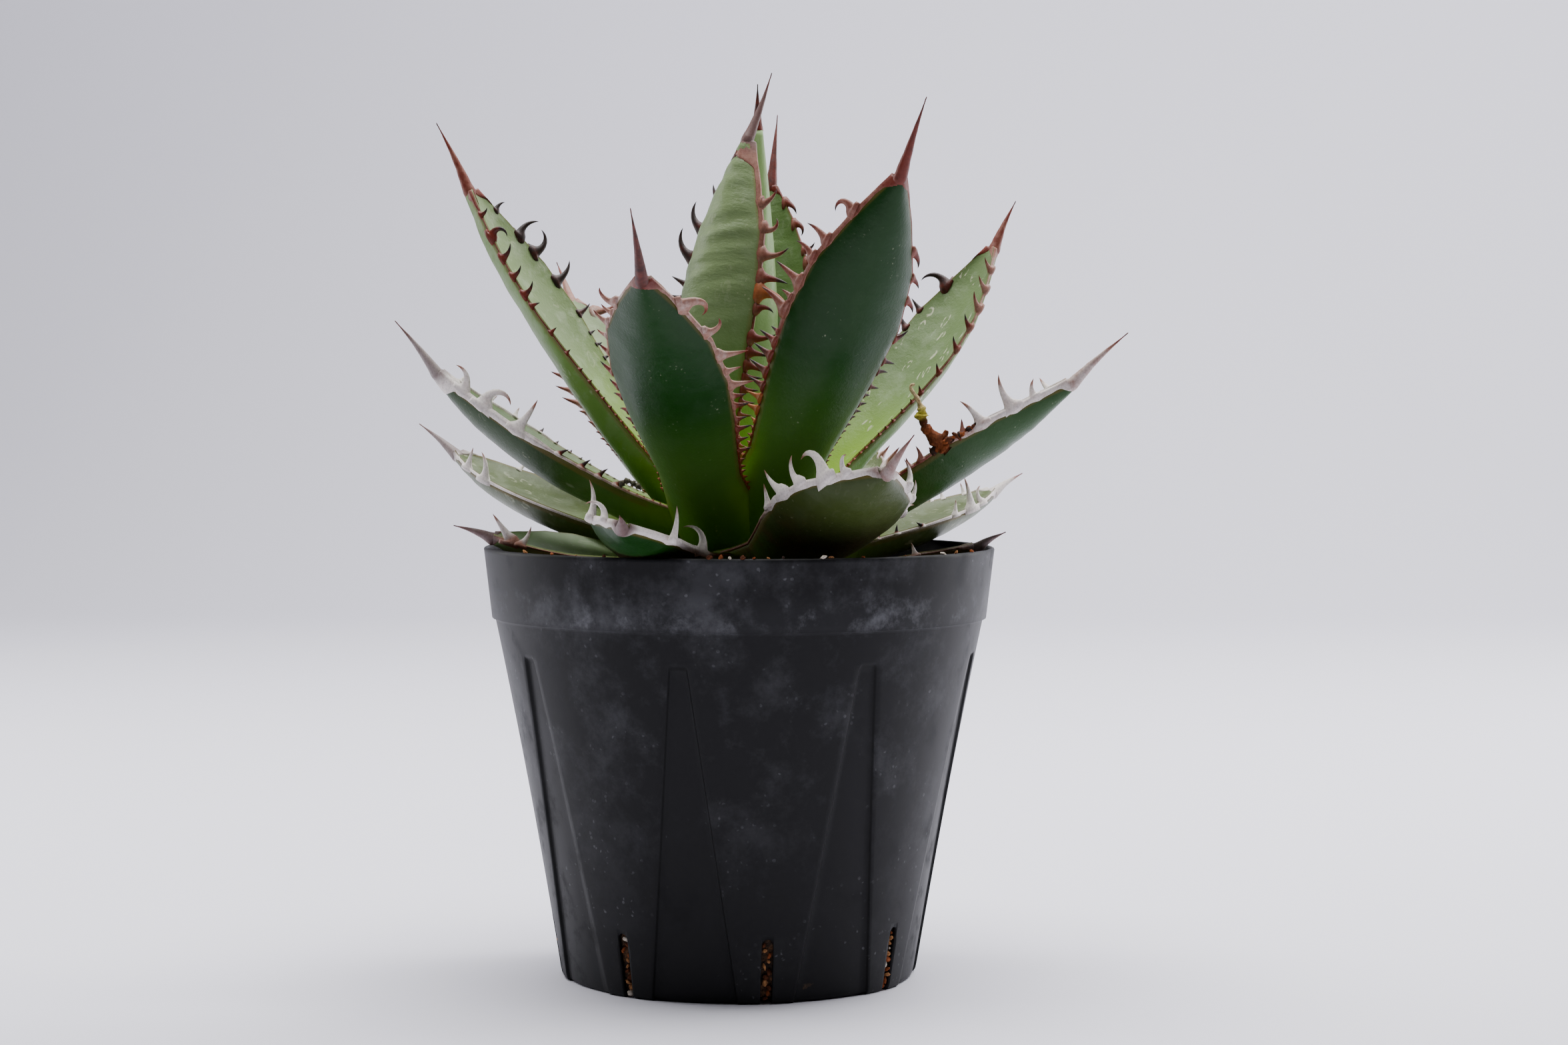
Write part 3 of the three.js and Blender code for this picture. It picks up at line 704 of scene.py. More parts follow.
def grown_teeth(leaf, side):
    """The teeth listed for one edge, and below them, or all along it, the grown ones."""
    edge = (leaf.number, side)
    rng = np.random.default_rng(100 * leaf.number + (1 if side > 0 else 2))
    teeth = list(TEETH.get(edge, []))
    grows = GROWN_SIZE.get(edge, 1)
    s = min(tooth[0] for tooth in teeth) - 4 / leaf.length if teeth else 0.94
    while s > FIRST_SMALL_TOOTH and edge not in NONE_GROWN:
        size = grows * float(mix(1.3, 7.5, smooth(s, 0.3, 0.85))) * rng.uniform(0.75, 1.15)
        hook = float(rng.choice([-110, -40, 20, 60, 110])) if size > 4.5 else rng.uniform(-40, 30)
        teeth.append((s, size, rng.uniform(-0.25, 0.2) * size, hook))
        gap = mix(2.4, 10.5, smooth(s, 0.35, 0.85)) * rng.uniform(0.8, 1.2)
        s -= gap / leaf.length
    return sorted(teeth, key=lambda tooth: tooth[0])


TOOTH_SIDES = 12
TOOTH_FLARE = 0.1  # share of a tooth over which its foot spreads
# Shares of a tooth's length at which it has a ring, from inside the band to near its tip
TOOTH_AT = [-0.14, -0.05, 0.0, 0.04, 0.08, 0.14, 0.22, 0.32, 0.43, 0.54, 0.65, 0.75, 0.84, 0.91, 0.97]


def tooth_rings(leaf, side, tooth, stand):
    """One tooth, from inside the band to its needle tip: rings, end points, and how far along."""
    s, reach, onward, hook, *curl = tooth
    lean = np.radians(TOOTH_LEAN.get((leaf.number, side), USUAL_LEAN))
    middle, out, along, normal = (x[0] for x in leaf.edge(np.array([s]), side))
    outward = out * np.cos(lean) + normal * np.sin(lean)
    rise = normal * np.cos(lean) - out * np.sin(lean)
    chord = math.hypot(reach, onward)
    hook = math.radians(hook)
    # The tooth turns in the plane of the edge by its hook, and out of it by its curl
    length = 1.08 * chord / max(np.sinc(hook / 2 / np.pi), 0.5)
    first = np.clip(math.atan2(onward, reach) - hook / 2, -0.9, 0.9)
    u = np.array(TOOTH_AT)
    turn = first * smooth(u, -0.02, 0.12) + hook * np.clip(u, 0, 1) ** 1.3
    over = np.radians(sum(curl)) * np.clip(u, 0, 1) ** 1.3
    outward = np.cos(over)[:, None] * outward + np.sin(over)[:, None] * rise
    flat = unit(np.cross(outward, along))
    heading = np.cos(turn)[:, None] * outward + np.sin(turn)[:, None] * along
    steps = np.diff(u, prepend=u[0])[:, None] * length * heading
    foot = middle + out * stand
    line = foot + u[0] * length * outward[0] + np.cumsum(steps, 0)
    sideways = -np.sin(turn)[:, None] * outward + np.cos(turn)[:, None] * along
    taper = np.clip(1 - u, 0, 1)
    flare = np.exp(-np.clip(u, 0, 1) / TOOTH_FLARE)
    broad = (0.095 * length + 0.44) * taper**0.8 + (0.19 * length + 0.1) * flare
    thick = (0.07 * length + 0.42) * taper**0.8 + 0.3 * flare
    rings = tube(line, sideways, flat, broad[:, None], thick[:, None], circle(TOOTH_SIDES))
    tip = line[-1] + heading[-1] * 0.03 * length
    return rings, np.array([line[0], tip]), np.clip(u, 0, 1)


print("teeth on leaf 3:", len(grown_teeth(leaves[2], -1)) + len(grown_teeth(leaves[2], 1)))

# %% [markdown]
# ## The horny band
# Between the teeth the edge is not bare: a band of horn follows it, half a millimetre wide near
# the root, up to 1.5 mm wide towards the tip, and swollen under each tooth. Where it is wide, its
# skin runs over the upper face, round the edge and back under the leaf, with its ends sunk into
# the blade. Near the tip the bands of both sides meet and close into the cap of the spine.

# %% How wide the band is
BAND_START = 0.15
BAND_THIN = 0.6  # mm that it measures low down
CAP_UPPER = (0.965, 0.995)  # shares of the length over which the band closes into the cap
CAP_BACK = (0.97, 0.998)
CAP_EARLY = {2: 0.04, 10: 0.05}  # caps that start lower
BAND_STATIONS = 190

# By leaf, or by leaf and side where they differ: (widest in mm, share where it thins, tone of the
# band near the tip and low down, tone of the teeth near the tip and low down)
EDGE_HORN = {
    1: (0.7, 0.6, 0.62, 0.85, 0.8, 0.9),
    2: (1.1, 0.72, 0.5, 0.66, 0.54, 0.74),
    (2, -1): (0.3, 0.5, 0.88, 0.9, 0.95, 0.95),
    3: (1.1, 0.6, 0.55, 0.8, 0.58, 0.84),
    (3, 1): (0.6, 0.7, 0.6, 0.85, 0.8, 0.9),
    4: (0.35, 0.7, 0.72, 0.74, 0.85, 0.75),
    (4, -1): (0.2, 0.7, 0.92, 0.92, 1.0, 0.95),
    5: (0.5, 0.8, 0.34, 0.66, 0.45, 0.74),
    (5, 1): (0.2, 0.8, 0.85, 0.85, 0.95, 0.95),
    6: (1.1, 0.5, 0.5, 0.8, 0.7, 0.8),
    7: (0.9, 0.6, 0.34, 0.72, 0.36, 0.8),
    (7, -1): (0.8, 0.7, 0.32, 0.8, 0.4, 0.7),
    8: (0.5, 0.5, 0.3, 0.6, 0.55, 0.6),
    9: (1.2, 0.72, 0.1, 0.66, 0.14, 0.5),
    10: (1.5, 0.66, 0.08, 0.25, 0.08, 0.95),
    11: (1.1, 0.6, 0.2, 0.6, 0.4, 0.8),
    12: (1.1, 0.6, 0.2, 0.6, 0.4, 0.8),
    13: (1.4, 0.62, 0.0, 0.5, 0.0, 0.1),
    14: (0.7, 0.72, 0.05, 0.12, 0.03, 0.8),
    15: (0.7, 0.64, 0.05, 0.12, 0.05, 1.0),
    16: (1.3, 0.45, 0.0, 0.5, 0.0, 0.1),
    17: (1.0, 0.6, 0.1, 0.3, 0.2, 0.7),
    18: (1.0, 0.6, 0.1, 0.3, 0.2, 0.7),
    19: (0.4, 0.6, 0.4, 0.6, 0.05, 0.6),
    20: (0.4, 0.6, 0.3, 0.6, 0.1, 0.6),
}


def edge_horn(leaf, side):
    return EDGE_HORN.get((leaf.number, side), EDGE_HORN[leaf.number])


def swell(leaf, s, teeth, spread):
    """How much the teeth swell each place of the band, in mm of tooth."""
    total = np.zeros_like(s)
    for share, reach, onward, *_ in teeth:
        size = math.hypot(reach, onward)
        away = np.abs((s - share) * leaf.length / (spread * size + 0.35))
        total = np.maximum(total, size * np.exp(-(away**1.6)))
    return total


def band(leaf, side, teeth):
    """Rings of the horny band along one edge, how far it stands out, and its tone."""
    wide, thins_at, near_tip, low_down = edge_horn(leaf, side)[:4]
    s = np.linspace(BAND_START, 1.0, BAND_STATIONS)
    half = leaf.half(s)
    grown = smooth(s, BAND_START, BAND_START + 0.05)
    knots = swell(leaf, s, teeth, 0.13 + 0.04 * wide)
    uneven = ripple(s * leaf.length * 0.9, s * 0, leaf.number * 7 + side)
    breadth = mix(min(wide, BAND_THIN), wide, smooth(s, thins_at - 0.12, thins_at + 0.05))
    breadth = breadth * mix(1, 0.75, smooth(s, 0.9, 1.0))
    width = (0.5 * breadth + 0.07 * knots + 0.1 * uneven * np.minimum(breadth, 1)) * grown
    stand = (0.42 * breadth + 0.035 * knots + 0.06 * uneven * np.minimum(breadth, 1)) * grown
    early = CAP_EARLY.get(leaf.number, 0)
    cover = mix(width, half * 1.12, smooth(s + early, *CAP_UPPER))
    under = mix(width * 0.75, half * 1.12, smooth(s + early, *CAP_BACK))
    middle, out, along, normal = leaf.edge(s, side)

    def on_top(part, rise, extra=0.0):
        v = np.clip(1 - (cover * part + extra) / half, -0.2, 1)
        return leaf.point(s, side * v, -rise * grown)

    def on_back(part, rise, extra=0.0):
        v = np.clip(1 - (under * part + extra) / half, -0.2, 1)
        return leaf.point(s, side * v, leaf.thickness(s, v) + rise * grown)

    def beyond(part, rise):
        return middle + out * (stand * part)[:, None] + normal * (rise * (0.4 + 0.6 * grown))[:, None]

    lift = 0.12 + 0.06 * wide
    wraps = np.maximum(smooth(breadth, 0.5, 1.1), smooth(s + early, 0.93, 0.965))[:, None, None]
    wrapped = np.stack([
        on_top(1, -0.5, 0.4), on_top(1, 0.02), on_top(0.7, lift), on_top(0.35, lift * 1.4),
        on_top(0.05, lift * 1.5), beyond(0.62, 0.62), beyond(1.0, 0.02), beyond(0.62, -0.6),
        on_back(0.05, lift * 1.5), on_back(0.35, lift * 1.3), on_back(0.7, lift), on_back(1, 0.02),
        on_back(1, -0.5, 0.4),
    ], 1)
    # Where the band is thin it is only a rib along the middle of the edge
    bow = np.concatenate([[-0.5], np.linspace(-0.5, 0.5, 11), [0.5]]) * np.pi
    sunk = np.array([-0.5] + 11 * [0.0] + [-0.5])
    rib = (0.5 * breadth + 0.03 * knots)[:, None, None]
    line = middle[:, None] - normal[:, None] * rib * np.sin(bow)[:, None]
    line = line + out[:, None] * (sunk[:, None] + (stand[:, None, None] + 0.05) * np.cos(bow)[:, None])
    rings = mix(line, wrapped, wraps)
    tone = mix(low_down, near_tip, smooth(s, thins_at - 0.25, thins_at + 0.1))
    return s, rings, stand, tone


print("the band has", BAND_STATIONS, "stations")

# %% [markdown]
# ## The spine
# The leaf ends in a needle two centimetres long, round, stiff and slightly bent. It starts as
# wide as the cap and tapers almost evenly, a little hollow at first.

# %% Spine rings
SPINE_SIDES = 18
SPINE_FOOT = 1.9  # radius where it leaves the leaf
SPINE_POINT = 0.17  # and at its point
SPINE_BEND = 1.15  # share of a half wave that it is bent by


def spine_rings(line_start, along, side_a, side_b, length, radius, bow, seed):
    """A bent needle: rings, end points, and how far along each ring is."""
    u = np.concatenate([np.linspace(-0.14, 0, 4), np.linspace(0.04, 0.985, 24)])
    reach = u * length
    sway = bow * np.sin(np.clip(u, 0, 1) * np.pi * SPINE_BEND)
    line = line_start + reach[:, None] * along + sway[:, None] * side_b
    body = np.clip(1 - u, 0, 1)
    thick = radius * (0.78 * body + 0.22 * body**3.0) * smooth(u, -0.3, 0.0)
    thick = np.maximum(thick, SPINE_POINT)
    angle = circle(SPINE_SIDES)
    lumpy = thick[:, None] * (1 + 0.05 * ripple(reach[:, None] * 1.3, angle[None, :] * 0.9, seed))
    rings = tube(line, side_a, side_b, lumpy, lumpy, angle)
    tip = line_start + length * along + bow * np.sin(np.pi * SPINE_BEND) * side_b
    return rings, np.array([line[0], tip]), np.clip(u, 0, 1)


print("a spine tapers from", SPINE_FOOT, "to", SPINE_POINT, "mm")

# %% [markdown]
# ## Each leaf's colours
# Greens differ from leaf to leaf: the inner ones are grey-green with wax, the ones that lean to
# the viewer are deep bottle green outside, the oldest are olive. All turn yellow-green towards
# the heart, partly their own paler base and partly painted glow of the light that comes through
# them. For each leaf the table names its upper face, its back, how waxy, how soiled and how
# scarred it is, and how brown its spine is, where 0 is bone and 1 is black-brown.

# %% The colour table
GREYGREEN = (124, 142, 98)
SAGE = (138, 166, 108)
MEADOW = (96, 120, 70)
SEAGREEN = (106, 126, 82)
DUSK = (34, 58, 20)
BOTTLE = (14, 54, 11)
FOREST = (34, 70, 24)
# Partly the backs' own green and partly painted light: made paler for the light from the left on leaf 4's
# flank
LEAFBACK_AND_LIGHT = (104, 134, 66)
OLIVE = (80, 92, 52)
MOSS = (60, 72, 32)
# Yellow-greens of the heart: partly the bases' own paler colour, partly painted glow of light through the
# leaves. The one for the backs is brighter still, painted light where the heart lies in shade.
HEART_AND_GLOW = (140, 178, 34)
DEEP_HEART_AND_GLOW = (92, 138, 48)

# number: (upper face, back, wax, dirt, scars, spine)
COLOURS = {
    1: (MEADOW, MEADOW, 0.2, 0.0, 0.1, 0.8),
    2: (SAGE, GREYGREEN, 0.25, 0.0, 0.15, 0.5),
    3: (FOREST, BOTTLE, 0.03, 0.0, 0.0, 0.76),
    4: (GREYGREEN, LEAFBACK_AND_LIGHT, 0.5, 0.0, 0.3, 0.6),
    5: (SEAGREEN, LEAFBACK_AND_LIGHT, 0.25, 0.0, 1.0, 0.6),
    6: (SAGE, FOREST, 0.4, 0.0, 0.2, 0.55),
    7: (FOREST, BOTTLE, 0.03, 0.0, 0.0, 0.85),
    8: (GREYGREEN, LEAFBACK_AND_LIGHT, 0.4, 0.0, 0.2, 0.45),
    9: (OLIVE, FOREST, 0.05, 0.2, 0.0, 0.24),
    10: (MEADOW, DUSK, 0.1, 0.1, 0.2, 0.12),
    11: (OLIVE, FOREST, 0.4, 0.0, 0.3, 0.45),
    12: (OLIVE, FOREST, 0.4, 0.1, 0.3, 0.45),
    13: (MOSS, MOSS, 0.05, 0.9, 0.03, 0.3),
    14: (OLIVE, MOSS, 0.25, 0.2, 0.4, 0.1),
    15: (OLIVE, MOSS, 0.25, 0.2, 0.3, 0.04),
    16: (DUSK, BOTTLE, 0.05, 0.5, 0.0, 0.3),
    17: (OLIVE, MOSS, 0.4, 0.4, 0.3, 0.4),
    18: (OLIVE, MOSS, 0.4, 0.4, 0.3, 0.4),
    19: (SAGE, SAGE, 0.1, 0.3, 0.3, 0.3),
    20: (MOSS, MOSS, 0.1, 0.7, 0.2, 0.2),
}
# How greyed by weather a leaf's spine is, where it is at all
GREYED = {2: 0.75, 7: 0.3, 9: 0.2, 10: 0.7, 13: 0.5, 14: 0.85, 15: 0.3, 16: 0.9, 19: 0.8, 20: 0.85}
print("coloured leaves:", len(COLOURS))

# %% [markdown]
# ## Growing the blades
# A blade is one closed loft. Its rings are dense enough to carry the small swellings that show in
# the outline, and each point keeps where it is on the leaf, which the skin material reads.

# %% Blade skin
TOP_COLUMNS = 25
BACK_COLUMNS = 17
BLADE_RINGS = 110
FOLDED = {1: 0.5, 2: 1.0, 4: 0.25}  # leaves whose skin is crossed by folds, and how deep


def blade_skin(leaf, upper, back, wax, dirt, scars):
    """The loft of one blade. S is the share of its length, V the place across it, B is 1 at the back."""
    s = np.linspace(0, 1, BLADE_RINGS)
    top_v = np.sin(np.linspace(-1, 1, TOP_COLUMNS) * np.pi / 2)
    back_v = -np.sin(np.linspace(-1, 1, BACK_COLUMNS + 2)[1:-1] * np.pi / 2)
    S, V = np.meshgrid(s, np.concatenate([top_v, back_v]), indexing="ij")
    B = np.broadcast_to(np.repeat([0.0, 1.0], [TOP_COLUMNS, BACK_COLUMNS]), S.shape)
    half = leaf.half(S)
    lump = ripple(S * leaf.length * 0.11, V * half * 0.12 + 9 * B, leaf.number)
    wrinkle = ripple(S * leaf.length * 0.75, V * half * 0.12 + 5 * B, leaf.number + 50, octaves=2)
    calm = smooth(1 - np.abs(V), 0, 0.3) * smooth(S, 0.02, 0.15)
    relief = calm * (0.28 * lump + 0.1 * wrinkle * smooth(S, 0.4, 0.7))
    folds = FOLDED.get(leaf.number, 0) * smooth(S, 0.45, 0.7) * smooth(1 - np.abs(V), 0.02, 0.3)
    slanting = 1.15 * S * leaf.length - 0.4 * V * half
    relief = relief + 0.42 * folds * ripple(slanting, 0.15 * V * half + 3 * B, leaf.number + 90, octaves=1)
    depth = np.where(B > 0, leaf.thickness(S, V) - relief, relief)
    rings = leaf.point(S, V, depth)
    across = V * half
    seed = 40.0 * leaf.number + 90 * B
    grow = np.stack([S * leaf.length, across + seed, 13.0 * leaf.number + 0 * S], -1)
    backs = B[..., None] > 0
    high = np.where(backs, linear(*back), linear(*upper))
    # Painted glow: towards the heart both faces turn to the heart's yellow-greens, which are partly real
    # colour
    low = np.where(backs, linear(*DEEP_HEART_AND_GLOW), linear(*HEART_AND_GLOW))
    skin = mix(high, low, ((1 - smooth(S, 0.14, 0.62)) * 0.95)[..., None])
    margin = smooth(np.abs(V), 0.55, 0.95) * (1 - smooth(S, 0.12, 0.36))
    skin = mix(skin, np.array(linear(*HEART_AND_GLOW)), (0.7 * margin)[..., None])
    wide = np.where(V > 0, edge_horn(leaf, 1)[0], edge_horn(leaf, -1)[0])
    edge = np.maximum(half * (1 - np.abs(V)) - 0.5 * wide, 0) + 3 * (1 - smooth(S, 0.15, 0.25))
    tips = np.array([0.0, 1.0])
    ends = leaf.point(tips, 0 * tips, leaf.thickness(tips, 0) / 2)
    waxy = wax * mix(1, 0.7, B) * smooth(S, 0.1, 0.6)
    finish = np.stack([waxy, dirt * (1 - smooth(S, 0.3, 0.75)), scars * smooth(S, 0.2, 0.45)], -1)
    return Skin().loft(rings, ends, grow=grow, skin=skin, finish=finish, edge=edge, folds=folds)


print("points round a blade:", TOP_COLUMNS + BACK_COLUMNS)

# %% Grow every leaf
# Teeth that stand against the light and glow amber: the shares they lie between, and how strongly
LIT_TEETH = {(2, 1): (0.6, 0.64, 0.45), (3, -1): (0.36, 0.43, 0.5)}
YOUNG_LEAVES = 6  # the first ones in the table
tooth_count = 0


def tints(rings, tone, amber_glow, grey):
    """How brown each ring of a piece of horn is, how strong its painted amber glow is, and how grey it has
    weathered.
    """
    count, sides = rings.shape[:2]
    rows = [np.broadcast_to(np.asarray(value, float), (count,)) for value in (amber_glow, grey, 0)]
    stain = np.repeat(np.stack(rows, -1)[:, None], sides, 1)
    return {"tone": np.repeat(tone[:, None], sides, 1), "stain": stain}


for leaf in leaves:
    *look, spine_tone = COLOURS[leaf.number]
    young = leaf.number <= YOUNG_LEAVES
    blade = blade_skin(leaf, *look)
    blade.piece(f"{leaf.name}_skin", LEAF_SKIN, "young_leaf" if young else "old_leaf", f"{leaf.name}_blade")
    horn = Skin()
    for side in (-1, 1):
        teeth = grown_teeth(leaf, side)
        s, rings, stand, tone = band(leaf, side, teeth)
        tone = mix(tone, spine_tone, smooth(s, 0.95, 1.0) * 0.8)
        # Painted glow: amber low on the band, for light that shines through the young horn
        amber_glow = 0.3 * (1 - smooth(s, 0.22, 0.4))
        grey = GREYED.get(leaf.number, 0) * smooth(s, 0.955, 1.0)
        horn.loft(rings, **tints(rings, tone, amber_glow, grey))
        _, thins_at, _, _, *tooth_tones = edge_horn(leaf, side)
        lit = LIT_TEETH.get((leaf.number, side), (0, 0, 0))
        for tooth in teeth:
            here, foot = (float(np.interp(tooth[0], s, row)) for row in (stand, tone))
            rings, ends, u = tooth_rings(leaf, side, tooth, here * 0.6)
            high = tooth_tones[0] if tooth[0] > thins_at else tooth_tones[1]
            shade = mix(foot, high, smooth(u, 0.0, 0.3)) + 0.4 * smooth(u, 0.45, 1.0)
            # Painted glow: amber on the teeth that stand against the light, fainter on the low ones
            glow = lit[2] if lit[0] < tooth[0] < lit[1] else 0.3 * (1 - smooth(tooth[0], 0.22, 0.45))
            horn.loft(rings, ends, **tints(rings, shade, glow, 0))
            tooth_count += 1
    place, along, across, up = (x[0] for x in leaf.frame(np.array([1.0])))
    start = place - up * THICKNESS_AT[-1][1] / 2
    rings, ends, u = spine_rings(start, along, across, up, leaf.spine, SPINE_FOOT, 0.35, leaf.number)
    shade = mix(spine_tone, 0.85, smooth(u, 0.5, 1.0))
    horn.loft(rings, ends, **tints(rings, shade, 0, GREYED.get(leaf.number, 0)))
    horn.piece(f"{leaf.name}_armature", HORN, "young_horn" if young else "old_horn", f"{leaf.name}_horn")
print("teeth:", tooth_count)

# %% [markdown]
# ## The bud
# The youngest leaves are still furled round each other into a hard cone at the heart of the
# rosette. It is one twisted loft with an overlapping seam, and a spine of its own at the top.

# %% The bud
# (height, radius, x, y) of the rings of the bud, and (x, y, height) of the tip of its spine
BUD = [
    (124, 6.6, 1, 0), (150, 8.6, 1.5, 0), (175, 9.4, 2.5, 3), (196, 9, 3, 5.5), (214, 7, 3.8, 8),
    (232, 4.4, 4.6, 10.4), (249, 1.9, 5, 12.4),
]
BUD_SPINE_TIP = (5.2, 14, 263)
BUD_SIDES = 48
BUD_RINGS = 70


def bud_skin():
    z = np.linspace(BUD[0][0], BUD[-1][0], BUD_RINGS)
    rows = np.array(BUD, float)
    radius, x, y = (np.interp(z, rows[:, 0], rows[:, k]) for k in (1, 2, 3))
    Z, A = np.meshgrid(z, circle(BUD_SIDES), indexing="ij")
    share = (Z - z[0]) / (z[-1] - z[0])
    wrap = np.mod(A - 2.2 * share - 3.6, 2 * np.pi) / (2 * np.pi)
    seam = 1 - 0.09 * smooth(wrap, 0.0, 0.08) + 0.09 * wrap
    R = radius[:, None] * np.minimum(seam, 1.0) * 0.98
    rings = np.stack([x[:, None] + R * np.cos(A), y[:, None] + R * np.sin(A), Z], -1)
    grow = np.stack([Z, A * 8.0, 0 * Z], -1)
    # The bud's foot turns to the heart's yellow-green, partly its own colour and partly painted glow
    top, low = np.array(linear(*SAGE)), np.array(linear(*HEART_AND_GLOW))
    skin = mix(low, top, smooth(share, 0.1, 0.5)[..., None])
    finish = np.stack([0.3 + 0 * Z, 0 * Z, 0 * Z], -1)
    return Skin().loft(rings, grow=grow, skin=skin, finish=finish, edge=3 + 0 * Z, folds=0 * Z)


bud_skin().piece("bud_skin", LEAF_SKIN, "young_leaf", "bud")
height, radius, x, y = BUD[-1]
bud_top = np.array([x, y, height], float)
rise = np.array(BUD_SPINE_TIP, float) - bud_top
forwards = unit(np.cross(unit(rise), [0, 1, 0]))
across = np.cross(unit(rise), forwards)
tall = float(np.linalg.norm(rise))
rings, ends, u = spine_rings(bud_top, unit(rise), forwards, across, tall, SPINE_FOOT, 0.2, 77)
needle = Skin().loft(rings, ends, **tints(rings, 0.75 + 0.2 * u, 0, 0))
needle.piece("bud_needle", HORN, "young_horn", "bud_spine")
print("bud is", BUD[-1][0] - BUD[0][0], "mm tall")

# %% [markdown]
# ## The pot
# A nursery pot is very thin black plastic. Its body widens upwards to a collar, eight flat facets
# are pressed into it, narrowing upwards, and eight drainage slits run in under its floor. The wall
# is lofted ring by ring, outside and inside, and the slits are cut with a boolean.

# %% Pot sizes
POT_HEIGHT = 126
RIM_RADIUS = 75
WALL = 1.4
FLOOR = 1.6
COLLAR_FOOT = 105.7
COLLAR_FOOT_RADIUS = 72.6
FOOT_RADIUS = 52.2
FOOT_BEVEL = 2.5
BODY_SLOPE = 0.158
BODY_FLARE = 0.00025
SECTORS = 8
FIRST_SLIT = 8.5
SLIT_WIDTH = 3.4
SLIT_HEIGHT = 18.8
SLIT_REACH = 7
FACET_TOP = 95.8
FACET_DEPTH = 0.9
FACET_HALF_FOOT = 12
FACET_HALF_TOP = 2


def body_radius(z):
    return FOOT_RADIUS + BODY_SLOPE * z + BODY_FLARE * z * z


def facet_half(z):
    return mix(FACET_HALF_FOOT, FACET_HALF_TOP, np.clip(z / FACET_TOP, 0, 1))


print("body radius under the collar:", round(body_radius(COLLAR_FOOT), 1))


# %% Pot wall
PANEL_COLUMNS = 12
FACET_COLUMNS = 9
STEP_COLUMNS = 4
STEP_DEGREES = 0.7


def pot_columns(z):
    """Angles round the pot at height z, and how far each is sunk into a facet, 0 to 1."""
    half = 180 / SECTORS
    edge = np.degrees(np.arcsin(facet_half(z) / body_radius(min(z, FACET_TOP))))
    panel = np.linspace(-half, -(edge + STEP_DEGREES), PANEL_COLUMNS, endpoint=False)
    step = np.linspace(-(edge + STEP_DEGREES), -edge, STEP_COLUMNS, endpoint=False)
    facet = np.linspace(-edge, edge, FACET_COLUMNS, endpoint=False)
    away = np.concatenate([panel, step, facet, -step[::-1], -panel[:0:-1]])
    slope = smooth(np.arange(STEP_COLUMNS) / STEP_COLUMNS, 0, 1)
    level = np.zeros(PANEL_COLUMNS)
    sunk = np.concatenate([level, slope, np.ones(FACET_COLUMNS), slope[::-1], level[1:]])
    turns = FIRST_SLIT + half + np.arange(SECTORS)[:, None] * 2 * half
    return (turns + away).ravel(), np.tile(sunk, SECTORS)


def pot_dip(z):
    """How far each point of the ring at height z is sunk into a facet, 0 to 1."""
    return pot_columns(z)[1] * smooth(FACET_TOP - z, -0.6, 1.2) * smooth(FACET_TOP + 0.3 - z, 0, 0.1)


def pot_ring(z, inset=0.0, radius=None):
    """The ring at height z: the body's with its facets, set in by inset, or a plain circle."""
    turn = np.radians(pot_columns(z)[0])
    if radius is None:
        radius = body_radius(z) - inset - FACET_DEPTH * pot_dip(z)
    return np.stack([radius * np.sin(turn), -radius * np.cos(turn), np.full_like(turn, z)], 1)


def up_collar(z, foot):
    """The collar's radius at height z when it starts from radius foot."""
    return mix(foot, RIM_RADIUS, (z - COLLAR_FOOT) / (POT_HEIGHT - COLLAR_FOOT))


# (below the top, in from the rim's radius) of the rings over the lip
LIP = [(0.6, 0.03), (0.2, 0.2), (0, 0.62), (0.15, WALL - 0.15), (0.5, WALL)]


def pot_wall():
    """Rings up the outside, over the lip and down the inside."""
    start = body_radius(COLLAR_FOOT)
    rings = [pot_ring(z, inset) for z, inset in ((0.0, 0.8), (0.3, 0.4), (1.0, 0.1), (FOOT_BEVEL, 0.0))]
    # Rings stand closer together where the facets end and under the collar
    rings += [pot_ring(z) for z in np.linspace(5, 92, 30)]
    rings += [pot_ring(z) for z in (93.5, 94.6, 95.3, 95.8, 96.3, 97, 99, 101, 103, 104.6, 105.3)]
    circles = [(105.5, start + 0.2), (105.4, mix(start, COLLAR_FOOT_RADIUS, 0.6))]
    circles += [(105.45, COLLAR_FOOT_RADIUS - 0.05), (105.6, COLLAR_FOOT_RADIUS)]
    circles += [(z, up_collar(z, COLLAR_FOOT_RADIUS)) for z in np.linspace(108, 124.6, 9)]
    circles += [(POT_HEIGHT - down, RIM_RADIUS - inwards) for down, inwards in LIP]
    circles += [(z, up_collar(z, start) - WALL) for z in (122, 116, 110, 106)]
    rings += [pot_ring(z, radius=radius) for z, radius in circles]
    rings += [pot_ring(z, WALL) for z in (102, 97, 92, 70, 45, 20, FLOOR + 1.2)]
    rings += [pot_ring(FLOOR, WALL + 1)]
    return Skin().loft(np.array(rings), sunk=[pot_dip(ring[0, 2]) for ring in rings])


def at_slit(index, radius, aside, z):
    """The place at a radius in the direction of one slit, and a little aside of it."""
    turn = math.radians(FIRST_SLIT + index * 360 / SECTORS)
    ahead, across = (math.sin(turn), -math.cos(turn)), (math.cos(turn), math.sin(turn))
    return [radius * ahead[k] + aside * across[k] for k in range(2)] + [z]


def slit_cutter(index):
    """A bar with a rounded top, through the wall and in under the floor."""
    half = SLIT_WIDTH / 2
    arc = [(half * math.cos(a), SLIT_HEIGHT - half + half * math.sin(a)) for a in np.linspace(0, np.pi, 9)]
    outline = [(half, -1)] + arc + [(-half, -1)]
    radii = (FOOT_RADIUS - SLIT_REACH, FOOT_RADIUS + 10)
    return Skin().loft(np.array([[at_slit(index, radius, x, z) for x, z in outline] for radius in radii]))


print("points round the pot:", len(pot_columns(0)[0]))

